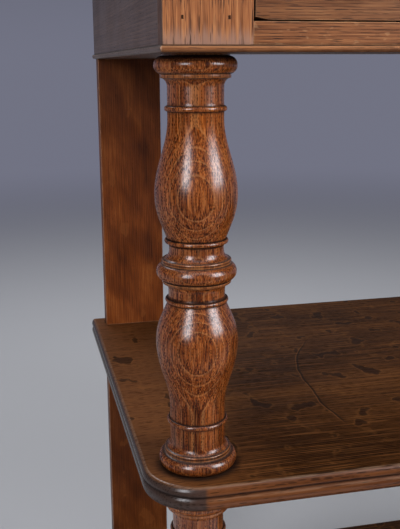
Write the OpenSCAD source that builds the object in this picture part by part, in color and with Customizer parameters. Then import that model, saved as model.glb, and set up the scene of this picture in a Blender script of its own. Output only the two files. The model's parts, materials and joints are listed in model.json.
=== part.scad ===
/* [Moulded boards] */
// Width of the top board and the two shelves
board_w = 1220; // [1000:10:1500]
// Depth of the top board and the two shelves
board_d = 560; // [480:10:640]
// Thickness of the top board and the two shelves
board_t = 25.4; // [22:0.2:30]
// Radius of the rounded front corners
corner_r = 57; // [52:1:70]
// Height of the upper reed on the moulded edge
upper_reed_h = 9.8; // [8:0.2:11]
// How far the upper reed rounds in over the top face
upper_reed_run = 5.2; // [3:0.2:7]
// Depth of the groove between the reeds
reed_groove = 2; // [1:0.2:3]
// How far the lower reed rounds in under the board
lower_reed_run = 5; // [4:0.2:7]

/* [Tiers] */
// Height of the turned feet
foot_h = 100; // [90:1:130]
// Clear height of the lower tier
lower_clear = 410; // [390:1:460]
// Clear height of the upper tier
upper_clear = 400; // [390:1:460]
// Distance of a column's axis from the end of the boards
column_side_in = 57; // [55:1:62]
// Distance of a column's axis from the front of the boards
column_front_in = 57; // [55:1:62]

/* [Columns] */
// Radius of the torus at the head
head_torus_r = 38; // [36:0.2:40]
// Height of the torus at the head
head_torus_h = 16.4; // [14:0.2:18]
// Height of the slim seat over the head torus
head_seat_h = 1.8; // [1:0.1:3]
// Radius of the torus at the base
base_torus_r = 39; // [36:0.2:40]
// Height of the torus at the base
base_torus_h = 15.6; // [14:0.2:18]
// Radius of the torus at mid height
mid_torus_r = 38.4; // [36:0.2:40]
// Height of the torus at mid height
mid_torus_h = 17; // [14:0.5:20]
// Radius of the upper belly
upper_belly_r = 39; // [36:0.2:41]
// Radius of the lower belly
lower_belly_r = 39.8; // [36:0.2:41]
// Radius of the necks in the upper half
upper_neck_r = 26; // [24:0.2:28]
// Radius of the necks in the lower half
lower_neck_r = 27.2; // [24:0.2:28]
// Height of the upper belly below the column's top
upper_belly_in = 127.5; // [120:0.5:135]
// Height of the lower belly above the column's foot
lower_belly_in = 130; // [120:0.5:135]
// Distance of each outer ring from the end of the column
outer_ring_in = 48.3; // [44:0.5:54]
// Distance of the upper inner ring from mid height
upper_ring_out = 29.4; // [28:0.2:34]
// Distance of the lower inner ring from mid height
lower_ring_out = 28; // [27:0.2:34]
// Radius of the fillet under the head torus
head_fillet_r = 32.4; // [30:0.2:34]
// Height of the fillet under the head torus
head_fillet_h = 3; // [2:0.2:5]
// Radius of the fillet over the base torus
base_fillet_r = 33; // [31:0.2:35]
// Height of the fillet over the base torus
base_fillet_h = 3.8; // [2:0.2:5]
// Radius of the fillets beside the middle torus
mid_fillet_r = 33.2; // [31:0.2:34]
// Radius of the rings beside the middle torus
inner_ring_r = 30.4; // [29.6:0.1:31.5]
// Radius of the tenons turned on the columns
tenon_r = 11; // [9:0.5:13]
// Depth of a tenon in the next column or foot
tenon_in = 25; // [15:1:30]

/* [Rear boards] */
// Width of the flat rear boards
rear_w = 90; // [80:1:96]
// Thickness of the flat rear boards
rear_t = 24.5; // [20:0.5:28]
// Distance of a rear board from the end of the shelves
rear_side_in = 19.3; // [16:0.1:24]
// Distance of a rear board from the back of the shelves
rear_back_in = 11; // [8:0.5:14]
// Length of the stub tenons on the rear boards
stub_in = 8; // [6:0.5:9]

/* [Frieze] */
// Distance of the frieze from the ends of the boards
frieze_side_in = 17.4; // [15:0.2:20]
// Distance of the frieze from the front of the boards
frieze_front_in = 4.5; // [4:0.5:8]
// Distance of the frieze from the back of the boards
frieze_back_in = 6; // [4:0.5:10]
// Thickness of the bead boards under the frieze
bead_t = 6.2; // [5:0.2:8]
// How far the bead stands proud of the frieze
bead_out = 3; // [2:0.2:4]
// Width of the bead boards
bead_w = 97; // [96:1:110]
// Thickness of the stiles and the end panels
frame_t = 20; // [18:0.5:24]
// Width of the front stiles
stile_w = 78; // [74:1:90]
// Width of the stile between the drawers
centre_stile_w = 40; // [30:1:60]
// Height of the rail under the drawers
rail_t = 19.2; // [18:0.2:24]
// Height of the rail over the drawers
top_rail_t = 18; // [16:0.5:24]
// Depth of both front rails, front to back
rail_d = 60; // [50:1:80]
// Height of the drawer openings
opening_h = 95; // [80:1:120]
// Thickness of the back panel
back_t = 16; // [12:0.5:17]
// Width of the runner strip under each drawer side
runner_w = 14; // [12.5:0.5:20]
// Height of the guide strips beside the drawers
guide_h = 16; // [10:1:24]
// Width of the outer guide strips
guide_w = 12; // [8:1:16]
// Width of the outer kicker strips over the drawers
kicker_w = 40; // [30:1:44]

/* [Drawers] */
// Gap around a drawer front
front_gap = 1.2; // [0.6:0.1:2]
// Thickness of a drawer front
front_t = 22; // [18:0.5:25]
// Thickness of a drawer's sides and back
lining_t = 12; // [10:0.5:12.5]
// Wood left in front of the lapped dovetails
dovetail_lap = 6; // [4:0.5:8]
// Free space between a drawer's back and the back panel
drawer_rear_gap = 28.5; // [10:0.5:60]
// Thickness of a drawer bottom
bottom_t = 6; // [5:0.5:8]
// Height of a drawer bottom above the lower edge of the sides
bottom_up = 12; // [11:0.5:16]
// Depth of the groove that holds a drawer bottom
bottom_groove = 5; // [3:0.5:6]
// Radius of a drawer knob
knob_r = 17; // [14:0.5:20]
// How far a knob stands out from the drawer front
knob_out = 28; // [22:0.5:34]
// Radius of a knob's spigot
spigot_r = 6; // [5:0.5:8]

/* [Fits] */
// Glue gap around tenons and dovetails
joint_gap = 0.1; // [0.05:0.01:0.2]
// Running gap under a drawer side
run_gap = 0.3; // [0.2:0.05:0.5]
// Play between a drawer side and the kicker above it
top_play = 1.7; // [1:0.1:3]

/* [Hidden] */
$fn = 64;

// Wood and metal tones
oak_face = [0.52, 0.31, 0.17];
oak_turned = [0.42, 0.22, 0.11];
oak_dark = [0.28, 0.17, 0.1];
oak_lining = [0.62, 0.45, 0.28];
screw_steel = [0.45, 0.43, 0.4];

// Heights from the floor up
lower_top = foot_h + board_t;
middle_under = lower_top + lower_clear;
middle_top = middle_under + board_t;
frieze_under = middle_top + upper_clear;
carcase_z = frieze_under + bead_t;
opening_z = carcase_z + rail_t;
opening_top = opening_z + opening_h;
carcase_top = opening_top + top_rail_t;
carcase_h = carcase_top - carcase_z;
board_top = carcase_top + board_t;

// Plan: the knobs reach past the boards, and the origin is midway over all
knob_past = knob_out - frieze_front_in;
y_front = (knob_past - board_d) / 2;
y_back = y_front + board_d;
x_end = board_w / 2;
x_column = x_end - column_side_in;
y_column = y_front + column_front_in;
x_frieze = x_end - frieze_side_in;
y_face = y_front + frieze_front_in;
y_frieze_back = y_back - frieze_back_in;
y_frame = y_face + frame_t;
x_panel = x_frieze - frame_t;
x_opening = x_frieze - stile_w;
y_rail = y_face + rail_d;
y_rear = y_back - rear_back_in - rear_t;
x_rear = x_end - rear_side_in;

// Turning: where a belly's flare starts, and how long it stays slim
upper_vase = [58, 24];
lower_vase = [62, 26];
belly_pull = 28;
belly_round = 16;
waist_in = [5, 18];
ring_seat = 2.4;

// Turning: the seat, the rings, and the fillets and coves beside the tori
seat_r = 31;
cove_h = 7.4;
outer_ring_h = 5;
outer_ring_past = 2.8;
inner_ring_h = 4;
ring_cove_h = 4;
upper_mid_fillet_h = 3.4;
upper_mid_cove_h = 9;
lower_mid_fillet_h = 2.4;
lower_mid_cove_h = 7;

// Feet: pad, ankle, bulb and neck, with the pull of the curve at each
foot_pad = [24, 8];
foot_ankle_r = 18;
foot_ankle_pull = [4, 16];
foot_bulb_r = 37.5;
foot_bulb_share = 0.5;
foot_bulb_pull = 20;
foot_shoulder_pull = 12;
foot_neck = [25, 3];
foot_neck_pull = [6, -5];

// Joinery shared by two or more pieces
tongue_t = 6;
tongue_in = 8;
tongue_side = 7;
rail_tenon_t = 10;
rail_tenon_side = 5;
rail_tenon_in = 20;
rail_shoulder = 3.6;
stub_t = 10;
stub_shoulder = 22;
centre_stub_in = 8;
centre_stub_w = 24;
back_rebate = 10;
back_rail_d = 20;
block_d = 30;
bearer_tenon_in = 13;
foot_spigot_in = 12;
glue_block_side = 22;
glue_block_len = 60;

// Drawer, measured on the left one
drawer_w = x_opening - centre_stile_w / 2 - 2 * front_gap;
x_drawer = -(x_opening - front_gap);
drawer_z = opening_z + run_gap;
side_h = opening_h - run_gap - top_play;
front_h = opening_h - 2 * front_gap;
y_drawer_back = y_frieze_back - back_t - drawer_rear_gap;
drawer_len = y_drawer_back - y_face;
tail_in = front_t - dovetail_lap;
tail_slope = 7;
front_tails = 3;
rear_tails = 3;
back_drop = 4;
knob_shares = [0.22, 0.78];
knob_bead = 1.5;
knob_rim = 4;

// Screws: head radius, shank radius and how deep the head sits
screw_head_r = 4.2;
screw_r = 2.3;
screw_head_h = 3;
screw_sink = 1;
top_screw_bite = 12;
top_screw_len = top_rail_t + top_screw_bite;
back_screw_bite = 20;
back_screw_len = back_t + back_screw_bite;
bottom_screw_bite = 14;
bottom_screw_len = bottom_t + bottom_screw_bite;
bottom_screw_r = 1.6;
bottom_screw_head_r = 3;

// Cut nails through the stile: section, length, depth of the head and place
nail_w = 1.2;
nail_h = 2.4;
nail_tip_h = 1;
nail_len = 34;
nail_sink = 1.5;
nail_up = opening_z + 2.8;
nail_side = 17;
nail_spread = 40;

function arc(c, r, a0, a1, n = 8) = [
    for (i = [0:n])
        c + [r[0] * cos(a0 + (a1 - a0) * i / n), r[1] * sin(a0 + (a1 - a0) * i / n)]
];
function bezier(a, b, c, d, n = 12) = [
    for (i = [0:n])
        let (t = i / n)
            a * pow(1 - t, 3) + 3 * b * t * pow(1 - t, 2) + 3 * c * t * t * (1 - t) + d * pow(t, 3)
];
function without_first(list) = [for (i = [1:len(list) - 1]) list[i]];
function upside_down(list, h) = [for (i = [len(list) - 1:-1:0]) [list[i][0], h - list[i][1]]];

// Moulded boards

// Section through the double-reeded edge, from a corner's centre outwards
module edge_section() {
    r = corner_r;
    tuck = 2;
    low_r = [lower_reed_run, (board_t - upper_reed_h) / 2];
    low_c = [r - low_r[0], -upper_reed_h - low_r[1]];
    low_start = acos((low_r[0] - reed_groove) / low_r[0]);
    polygon(concat(
        [[0, -board_t], [0, 0]],
        arc([r - upper_reed_run, tuck - upper_reed_h], [upper_reed_run, upper_reed_h - tuck], 90, 0),
        without_first(arc([r - reed_groove, tuck - upper_reed_h], [reed_groove, tuck], 0, -90, 4)),
        arc(low_c, low_r, low_start, -90, 10)
    ));
}

module edge_run(length) {
    rotate([90, 0, 0]) linear_extrude(length) edge_section();
}

module moulded_board(top) {
    x = x_end - corner_r;
    y = y_front + corner_r;
    translate([0, 0, top]) {
        translate([-x, y, 0]) rotate([0, 0, 180]) rotate_extrude(angle = 90) edge_section();
        translate([x, y, 0]) rotate([0, 0, 270]) rotate_extrude(angle = 90) edge_section();
        translate([x, y, 0]) rotate([0, 0, -90]) edge_run(2 * x);
        translate([-x, y, 0]) rotate([0, 0, 180]) edge_run(board_d - corner_r);
        translate([x, y_back, 0]) edge_run(board_d - corner_r);
        translate([-x, y, -board_t]) cube([2 * x, board_d - corner_r, board_t]);
    }
}

module both_sides() {
    children();
    mirror([1, 0, 0]) children();
}

module at_column(z) {
    translate([-x_column, y_column, z]) children();
}

module column_holes(z) {
    both_sides() at_column(z) cylinder(r = tenon_r + joint_gap, h = board_t + 2);
}

// A stub tenon of a rear board, or its mortise when grown by a gap
module rear_stub(z, length, gap = 0) {
    translate([-x_rear + stub_shoulder - gap, y_rear + (rear_t - stub_t) / 2 - gap, z])
        cube([rear_w - 2 * stub_shoulder + 2 * gap, stub_t + 2 * gap, length]);
}

module stub_mortise(z, length) {
    rear_stub(z, length, joint_gap);
}

module middle_shelf() {
    color(oak_dark) difference() {
        moulded_board(middle_top);
        column_holes(middle_under - 1);
        both_sides() stub_mortise(middle_top - stub_in - joint_gap, stub_in + 1);
        both_sides() stub_mortise(middle_under - 1, stub_in + 1 + joint_gap);
    }
}

module lower_shelf() {
    color(oak_dark) difference() {
        moulded_board(lower_top);
        column_holes(foot_h - 1);
        both_sides() stub_mortise(lower_top - stub_in - joint_gap, stub_in + 1);
        both_sides() translate([-x_column, -y_column + y_front + y_back, foot_h - 1])
            cylinder(r = tenon_r + joint_gap, h = foot_spigot_in + 1 + joint_gap);
    }
}

module top_board() {
    color(oak_dark) difference() {
        moulded_board(board_top);
        top_screw_set(joint_gap);
    }
}

// Turned columns and feet

// Half a column's outline, from its end to the nose of the middle torus.
// torus and fillet are [radius, height], and belly is [radius, distance from the end].
function half_outline(mid, seat_h, torus, fillet, neck_r, vase, belly, ring_out, mid_fillet_h, mid_cove_h) =
    let (
        end_r = torus[1] / 2,
        fillet_z = seat_h + torus[1],
        cove_z = fillet_z + fillet[1],
        outer_r = outer_ring_h / 2,
        inner_r = inner_ring_h / 2,
        inner = mid - ring_out,
        ring_cove_r = inner_ring_r - inner_r,
        mid_r = mid_torus_h / 2,
        mid_cove_z = mid - mid_r - mid_fillet_h - mid_cove_h
    )
    concat(
        seat_h > 0 ? [[seat_r, 0], [seat_r, seat_h]] : [],
        arc([torus[0] - end_r, seat_h + end_r], [end_r, end_r], -90, 90, 12),
        [[fillet[0], fillet_z], [fillet[0], cove_z]],
        without_first(arc([fillet[0], cove_z + cove_h], [fillet[0] - neck_r, cove_h], 270, 180, 6)),
        [[neck_r, outer_ring_in - outer_r]],
        arc([neck_r + outer_ring_past - outer_r, outer_ring_in], [outer_r, outer_r], -90, 90, 6),
        [[neck_r, outer_ring_in + outer_r]],
        bezier([neck_r, vase[0]], [neck_r, vase[0] + vase[1]], belly - [0, belly_pull], belly, 14),
        without_first(bezier(
            belly, belly + [0, belly_round],
            [belly[0] - waist_in[0], inner - waist_in[1]], [inner_ring_r - ring_seat, inner - inner_r]
        )),
        arc([ring_cove_r, inner], [inner_r, inner_r], -90, 90, 6),
        without_first(arc(
            [ring_cove_r, inner + inner_r + ring_cove_h], [ring_cove_r - neck_r, ring_cove_h], 270, 180, 4
        )),
        arc([mid_fillet_r, mid_cove_z], [mid_fillet_r - neck_r, mid_cove_h], 180, 90, 6),
        [[mid_fillet_r, mid - mid_r]],
        arc([mid_torus_r - mid_r, mid], [mid_r, mid_r], -90, 0, 7)
    );

function lower_half_outline(mid) = half_outline(
    mid, 0, [base_torus_r, base_torus_h], [base_fillet_r, base_fillet_h], lower_neck_r,
    lower_vase, [lower_belly_r, lower_belly_in], lower_ring_out, lower_mid_fillet_h, lower_mid_cove_h
);

function upper_half_outline(mid) = half_outline(
    mid, head_seat_h, [head_torus_r, head_torus_h], [head_fillet_r, head_fillet_h], upper_neck_r,
    upper_vase, [upper_belly_r, upper_belly_in], upper_ring_out, upper_mid_fillet_h, upper_mid_cove_h
);

function column_outline(h) = concat(
    [[0, 0]],
    lower_half_outline(h / 2),
    without_first(upside_down(upper_half_outline(h / 2), h)),
    [[0, h]]
);

module column_body(h) {
    rotate_extrude() polygon(column_outline(h));
}

module lower_tenon() {
    length = board_t + tenon_in;
    translate([0, 0, -length]) cylinder(r = tenon_r, h = length);
}

module upper_column() {
    color(oak_turned) at_column(middle_top) {
        column_body(upper_clear);
        lower_tenon();
        cylinder(r = tenon_r, h = upper_clear + bead_t + bearer_tenon_in);
    }
}

module tenon_socket(top) {
    translate([0, 0, top - tenon_in - joint_gap]) cylinder(r = tenon_r + joint_gap, h = tenon_in + 1);
}

module lower_column() {
    color(oak_turned) at_column(lower_top) {
        difference() {
            column_body(lower_clear);
            tenon_socket(lower_clear);
        }
        lower_tenon();
    }
}

module foot_body() {
    pad_r = foot_pad[1] / 2;
    end_r = base_torus_h / 2;
    ankle = [foot_ankle_r, foot_pad[1] + 1];
    bulb = [foot_bulb_r, foot_h * foot_bulb_share];
    neck = [foot_neck[0], foot_h - base_torus_h - foot_neck[1]];
    rotate_extrude() polygon(concat(
        [[0, 0]],
        arc([foot_pad[0] - pad_r, pad_r], [pad_r, pad_r], -90, 90),
        bezier(ankle, ankle + foot_ankle_pull, bulb - [0, foot_bulb_pull], bulb),
        without_first(bezier(bulb, bulb + [0, foot_shoulder_pull], neck + foot_neck_pull, neck)),
        [[neck[0], foot_h - base_torus_h]],
        arc([base_torus_r - end_r, foot_h - end_r], [end_r, end_r], -90, 90, 12),
        [[0, foot_h]]
    ));
}

module front_foot() {
    color(oak_turned) at_column(0) difference() {
        foot_body();
        tenon_socket(foot_h);
    }
}

module rear_foot() {
    color(oak_turned) translate([-x_column, -y_column + y_front + y_back, 0]) {
        foot_body();
        cylinder(r = tenon_r, h = foot_h + foot_spigot_in);
    }
}

// Flat rear boards

module upper_rear_board() {
    color(oak_turned) {
        translate([-x_rear, y_rear, middle_top]) cube([rear_w, rear_t, upper_clear]);
        rear_stub(middle_top - stub_in, stub_in);
        rear_stub(frieze_under, bead_t + stub_in);
    }
}

module lower_rear_board() {
    color(oak_turned) {
        translate([-x_rear, y_rear, lower_top]) cube([rear_w, rear_t, lower_clear]);
        rear_stub(lower_top - stub_in, stub_in);
        rear_stub(middle_under, stub_in);
    }
}

// Frieze frame

module end_panel() {
    color(oak_face) difference() {
        union() {
            translate([-x_frieze, y_frame, carcase_z])
                cube([frame_t, y_frieze_back - y_frame, carcase_h]);
            translate([-x_frieze + tongue_side, y_frame - tongue_in, carcase_z])
                cube([tongue_t, tongue_in, carcase_h]);
        }
        translate([-x_panel - back_rebate, y_frieze_back - back_t, opening_z])
            cube([back_rebate + 1, back_t + 1, carcase_h]);
        back_screw_set(joint_gap);
        stile_nail_set(joint_gap);
    }
}

module rail_tenon(z, h, gap = 0) {
    y = y_face + rail_tenon_side - gap;
    translate([-x_opening - rail_tenon_in - gap, y, z + rail_shoulder - gap])
        cube([rail_tenon_in + gap, rail_tenon_t + 2 * gap, h - 2 * rail_shoulder + 2 * gap]);
}

module front_stile() {
    color(oak_face) difference() {
        translate([-x_frieze, y_face, carcase_z]) cube([stile_w, frame_t, carcase_h]);
        translate([-x_frieze + tongue_side - joint_gap, y_frame - tongue_in - joint_gap, carcase_z - 1])
            cube([tongue_t + 2 * joint_gap, tongue_in + 1, carcase_h + 2]);
        translate([1, 0, 0]) rail_tenon(carcase_z, rail_t, joint_gap);
        rail_tenon(carcase_z, rail_t, joint_gap);
        translate([1, 0, 0]) rail_tenon(opening_top, top_rail_t, joint_gap);
        rail_tenon(opening_top, top_rail_t, joint_gap);
        stile_nail_set(joint_gap);
    }
}

module centre_stub(z, length, gap = 0) {
    translate([-centre_stub_w / 2 - gap, y_face + rail_tenon_side - gap, z])
        cube([centre_stub_w + 2 * gap, rail_tenon_t + 2 * gap, length]);
}

module centre_stile() {
    color(oak_face) {
        translate([-centre_stile_w / 2, y_face, opening_z]) cube([centre_stile_w, frame_t, opening_h]);
        centre_stub(opening_z - centre_stub_in, centre_stub_in);
        centre_stub(opening_top, centre_stub_in);
    }
}

module bottom_rail() {
    color(oak_face) difference() {
        union() {
            translate([-x_opening, y_face, carcase_z]) cube([2 * x_opening, rail_d, rail_t]);
            both_sides() rail_tenon(carcase_z, rail_t);
        }
        centre_stub(opening_z - centre_stub_in - joint_gap, centre_stub_in + 1, joint_gap);
    }
}

module top_rail() {
    color(oak_face) difference() {
        union() {
            translate([-x_opening, y_face, opening_top]) cube([2 * x_opening, rail_d, top_rail_t]);
            both_sides() rail_tenon(opening_top, top_rail_t);
        }
        centre_stub(opening_top - 1, centre_stub_in + 1 + joint_gap, joint_gap);
        top_screw_set(joint_gap);
    }
}

module back_rail() {
    color(oak_lining) translate([-x_opening, y_frieze_back - back_rail_d, carcase_z])
        cube([2 * x_opening, back_rail_d, rail_t]);
}

module back_panel() {
    color(oak_lining) difference() {
        translate([-x_panel - back_rebate, y_frieze_back - back_t, opening_z])
            cube([2 * (x_panel + back_rebate), back_t, opening_h + top_rail_t]);
        back_screw_set(joint_gap);
    }
}

// Bullnosed section of the bead boards, nose towards -X
module bead_section() {
    polygon(concat(
        [[bead_w, 0], [bead_w, bead_t]],
        arc([bead_t / 2, bead_t / 2], [bead_t / 2, bead_t / 2], 90, 270, 10)
    ));
}

// Everything outside a 45 degree line through the frieze's front left corner
module mitre_side() {
    reach = 2 * (x_frieze + board_d);
    translate([-x_frieze - bead_out, y_face - bead_out, frieze_under - 1])
        linear_extrude(bead_t + 2) polygon([[0, 0], [0, reach], [reach, reach]]);
}

module side_bead() {
    color(oak_face) difference() {
        intersection() {
            translate([-x_frieze - bead_out, y_frieze_back, frieze_under])
                rotate([90, 0, 0]) linear_extrude(y_frieze_back - y_face + bead_out) bead_section();
            mitre_side();
        }
        at_column(frieze_under - 1) cylinder(r = tenon_r + joint_gap, h = bead_t + 2);
        stub_mortise(frieze_under - 1, bead_t + 2);
    }
}

module front_bead() {
    color(oak_face) difference() {
        translate([-x_frieze - bead_out, y_face - bead_out, frieze_under])
            rotate([90, 0, 90]) linear_extrude(2 * (x_frieze + bead_out)) bead_section();
        both_sides() mitre_side();
        both_sides() at_column(frieze_under - 1) cylinder(r = tenon_r + joint_gap, h = bead_t + 2);
    }
}

// Inside the frieze

module bearer() {
    color(oak_lining) difference() {
        translate([-x_panel, y_frame, carcase_z])
            cube([x_panel - x_opening, y_frieze_back - y_frame, rail_t]);
        at_column(carcase_z - 1) cylinder(r = tenon_r + joint_gap, h = bearer_tenon_in + 1 + joint_gap);
        stub_mortise(carcase_z - 1, stub_in + 1 + joint_gap);
    }
}

module corner_block() {
    color(oak_lining) difference() {
        translate([-x_panel, y_frame, opening_z])
            cube([x_panel - x_opening - guide_w, block_d, carcase_top - opening_z]);
        stile_nail_set(joint_gap);
    }
}

module side_runner() {
    color(oak_lining) translate([-x_opening, y_rail, carcase_z])
        cube([runner_w, y_frieze_back - back_rail_d - y_rail, rail_t]);
}

module centre_runner() {
    w = centre_stile_w + 2 * runner_w;
    color(oak_lining) translate([-w / 2, y_rail, carcase_z])
        cube([w, y_frieze_back - back_rail_d - y_rail, rail_t]);
}

module side_guide() {
    color(oak_lining) translate([-x_opening - guide_w, y_frame, opening_z])
        cube([guide_w, y_frieze_back - back_t - y_frame, guide_h]);
}

module centre_guide() {
    color(oak_lining) translate([-centre_stile_w / 2, y_frame, opening_z])
        cube([centre_stile_w, y_frieze_back - back_t - y_frame, guide_h]);
}

module kicker_bar(x, w) {
    color(oak_lining) difference() {
        translate([x, y_rail, opening_top]) cube([w, y_frieze_back - back_t - y_rail, top_rail_t]);
        top_screw_set(joint_gap);
    }
}

module side_kicker() {
    kicker_bar(-x_opening - kicker_w + runner_w, kicker_w);
}

module centre_kicker() {
    w = centre_stile_w + 2 * runner_w;
    kicker_bar(-w / 2, w);
}

module drawer_stops() {
    stop = [22, 13, 9];
    color(oak_lining) both_sides() for (share = [0.15, 0.85])
        translate([x_drawer + drawer_w * share - stop[0] / 2, y_face + front_t + run_gap, opening_z])
            cube(stop);
}

module glue_blocks() {
    color(oak_lining) both_sides() for (share = [0.3, 0.55, 0.8])
        translate([-x_panel, y_face + share * board_d, carcase_top])
            rotate([-90, 0, 0]) linear_extrude(glue_block_len)
                polygon([[0, 0], [glue_block_side, 0], [0, glue_block_side]]);
}

// Screws and nails, each also its own hole when grown by a gap

module wood_screw(length, r, head_r, gap = 0) {
    mouth = gap > 0 ? screw_sink + 1 : 0;
    rotate_extrude() polygon([
        [0, -mouth], [head_r + gap, -mouth], [head_r + gap, gap],
        [r + gap, screw_head_h], [r + gap, length + gap], [0, length + gap]
    ]);
}

module top_screw_set(gap = 0) {
    y_mid = (y_face + y_rail) / 2 + 6;
    y_span = y_frieze_back - back_t - y_rail;
    x_side = x_opening + kicker_w / 2 - runner_w;
    places = concat(
        [for (share = [-0.55, 0, 0.55]) [x_opening * share, y_mid]],
        [for (x = [-x_side, 0, x_side]) for (share = [0.3, 0.8]) [x, y_rail + y_span * share]]
    );
    for (place = places)
        translate([place[0], place[1], opening_top + screw_sink])
            wood_screw(top_screw_len, screw_r, screw_head_r, gap);
}

module top_screws() {
    color(screw_steel) top_screw_set();
}

module back_screw_set(gap = 0) {
    x = -x_panel - back_rebate / 2;
    both_sides() for (share = [0.2, 0.75])
        translate([x, y_frieze_back - screw_sink, opening_z + opening_h * share])
            rotate([90, 0, 0]) wood_screw(back_screw_len, screw_r, screw_head_r, gap);
}

module back_screws() {
    color(screw_steel) back_screw_set();
}

module stile_nail_set(gap = 0) {
    mouth = gap > 0 ? nail_sink + 1 : 0;
    both_sides() for (x = [nail_side, nail_side + nail_spread])
        translate([-x_frieze + x, y_face + nail_sink, nail_up]) rotate([90, 0, 90])
            linear_extrude(nail_w + 2 * gap, center = true) polygon([
                [-mouth, -nail_h / 2 - gap], [nail_len + gap, -nail_tip_h / 2 - gap],
                [nail_len + gap, nail_tip_h / 2 + gap], [-mouth, nail_h / 2 + gap]
            ]);
}

module stile_nails() {
    color(screw_steel) stile_nail_set();
}

// Drawers, drawn as the left one

// Tails in a row, flaring out along +X, over a height h
module tail_row(count, length, h, gap = 0) {
    pitch = h / count;
    tip = pitch * 0.72;
    root = tip - 2 * length / tail_slope;
    for (i = [0:count - 1])
        translate([0, pitch * (i + 0.5)]) polygon([
            [0, -root / 2 - gap], [length + gap, -tip / 2 - gap],
            [length + gap, tip / 2 + gap], [0, root / 2 + gap]
        ]);
}

// Side outline in the YZ plane: X is the drawer's length, Y is its height
module side_outline(gap = 0) {
    front = front_t;
    back = drawer_len - lining_t;
    square_h = bottom_up + bottom_t;
    translate([front, 0]) square([back - front, side_h]);
    translate([front + gap, 0]) mirror([1, 0]) tail_row(front_tails, tail_in + gap, side_h, gap);
    translate([back - gap, square_h]) tail_row(rear_tails, lining_t + gap, side_h - square_h, gap);
    translate([back, 0]) square([lining_t, square_h]);
}

module lay_side(x, w, gap = 0) {
    translate([x, y_face, drawer_z]) rotate([90, 0, 90]) linear_extrude(w) side_outline(gap);
}

// The drawer bottom's panel, or the slot for it when grown by a gap
module bottom_slab(back, gap = 0) {
    grip = bottom_groove - lining_t;
    y = front_t - bottom_groove - gap;
    translate([x_drawer - grip - gap, y_face + y, drawer_z + bottom_up - gap])
        cube([drawer_w + 2 * grip + 2 * gap, drawer_len - y + back, bottom_t + 2 * gap]);
}

module bottom_slot() {
    bottom_slab(1, joint_gap);
}

module drawer_side(x) {
    color(oak_lining) difference() {
        lay_side(x, lining_t);
        bottom_slot();
    }
}

module outer_side() {
    drawer_side(x_drawer);
}

module inner_side() {
    drawer_side(x_drawer + drawer_w - lining_t);
}

module at_knobs() {
    for (share = knob_shares)
        translate([x_drawer + drawer_w * share, y_face, opening_z + opening_h / 2])
            rotate([90, 0, 0]) children();
}

module drawer_front() {
    color(oak_face) difference() {
        translate([x_drawer, y_face, opening_z + front_gap]) cube([drawer_w, front_t, front_h]);
        lay_side(x_drawer - 1, lining_t + 1 + joint_gap, joint_gap);
        lay_side(x_drawer + drawer_w - lining_t - joint_gap, lining_t + 1 + joint_gap, joint_gap);
        bottom_slot();
        at_knobs() translate([0, 0, -front_t - 1]) cylinder(r = spigot_r + joint_gap, h = front_t + 2);
    }
}

module drawer_back() {
    low = bottom_up + bottom_t + joint_gap;
    color(oak_lining) difference() {
        translate([x_drawer, y_drawer_back - lining_t, drawer_z + low])
            cube([drawer_w, lining_t, side_h - low - back_drop]);
        lay_side(x_drawer - 1, lining_t + 1 + joint_gap, joint_gap);
        lay_side(x_drawer + drawer_w - lining_t - joint_gap, lining_t + 1 + joint_gap, joint_gap);
        drawer_screw_set(joint_gap);
    }
}

module drawer_bottom() {
    color(oak_lining) difference() {
        bottom_slab(0);
        drawer_screw_set(joint_gap);
    }
}

// A turned knob's outline: spigot, foot bead, waist, rim and domed face
function knob_outline() =
    let (
        spigot_in = front_t - 1,
        foot_r = knob_r * 0.64,
        waist = [knob_r * 0.47, 4],
        waist_pull = [knob_r * 0.42, 9],
        rim_z = knob_out * 0.66,
        under = [knob_r * 0.86, rim_z - knob_rim],
        under_pull = [knob_r * 0.55, rim_z - 1.8 * knob_rim],
        rim_a = 40,
        dome = [knob_r * 0.8, rim_z + knob_rim]
    )
    concat(
        [[0, -spigot_in], [spigot_r, -spigot_in], [spigot_r, 0], [foot_r, 0]],
        arc([foot_r, knob_bead], [knob_bead, knob_bead], -90, 90, 4),
        bezier(waist, waist_pull, under_pull, under),
        arc([knob_r - knob_rim, rim_z], [knob_rim, knob_rim], -rim_a, rim_a, 6),
        bezier(dome, [knob_r * 0.62, knob_out - 1.5], [knob_r * 0.3, knob_out], [0, knob_out])
    );

module drawer_knobs() {
    color(oak_turned) at_knobs() rotate_extrude() polygon(knob_outline());
}

module drawer_screw_set(gap = 0) {
    y = y_drawer_back - lining_t / 2;
    for (share = [0.15, 0.5, 0.85])
        translate([x_drawer + drawer_w * share, y, drawer_z + bottom_up + screw_sink])
            wood_screw(bottom_screw_len - screw_sink, bottom_screw_r, bottom_screw_head_r, gap);
}

module drawer_screws() {
    color(screw_steel) drawer_screw_set();
}

// Nodes, with each right-hand piece mirrored from the left one

module flipped() {
    mirror([1, 0, 0]) children();
}

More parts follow.
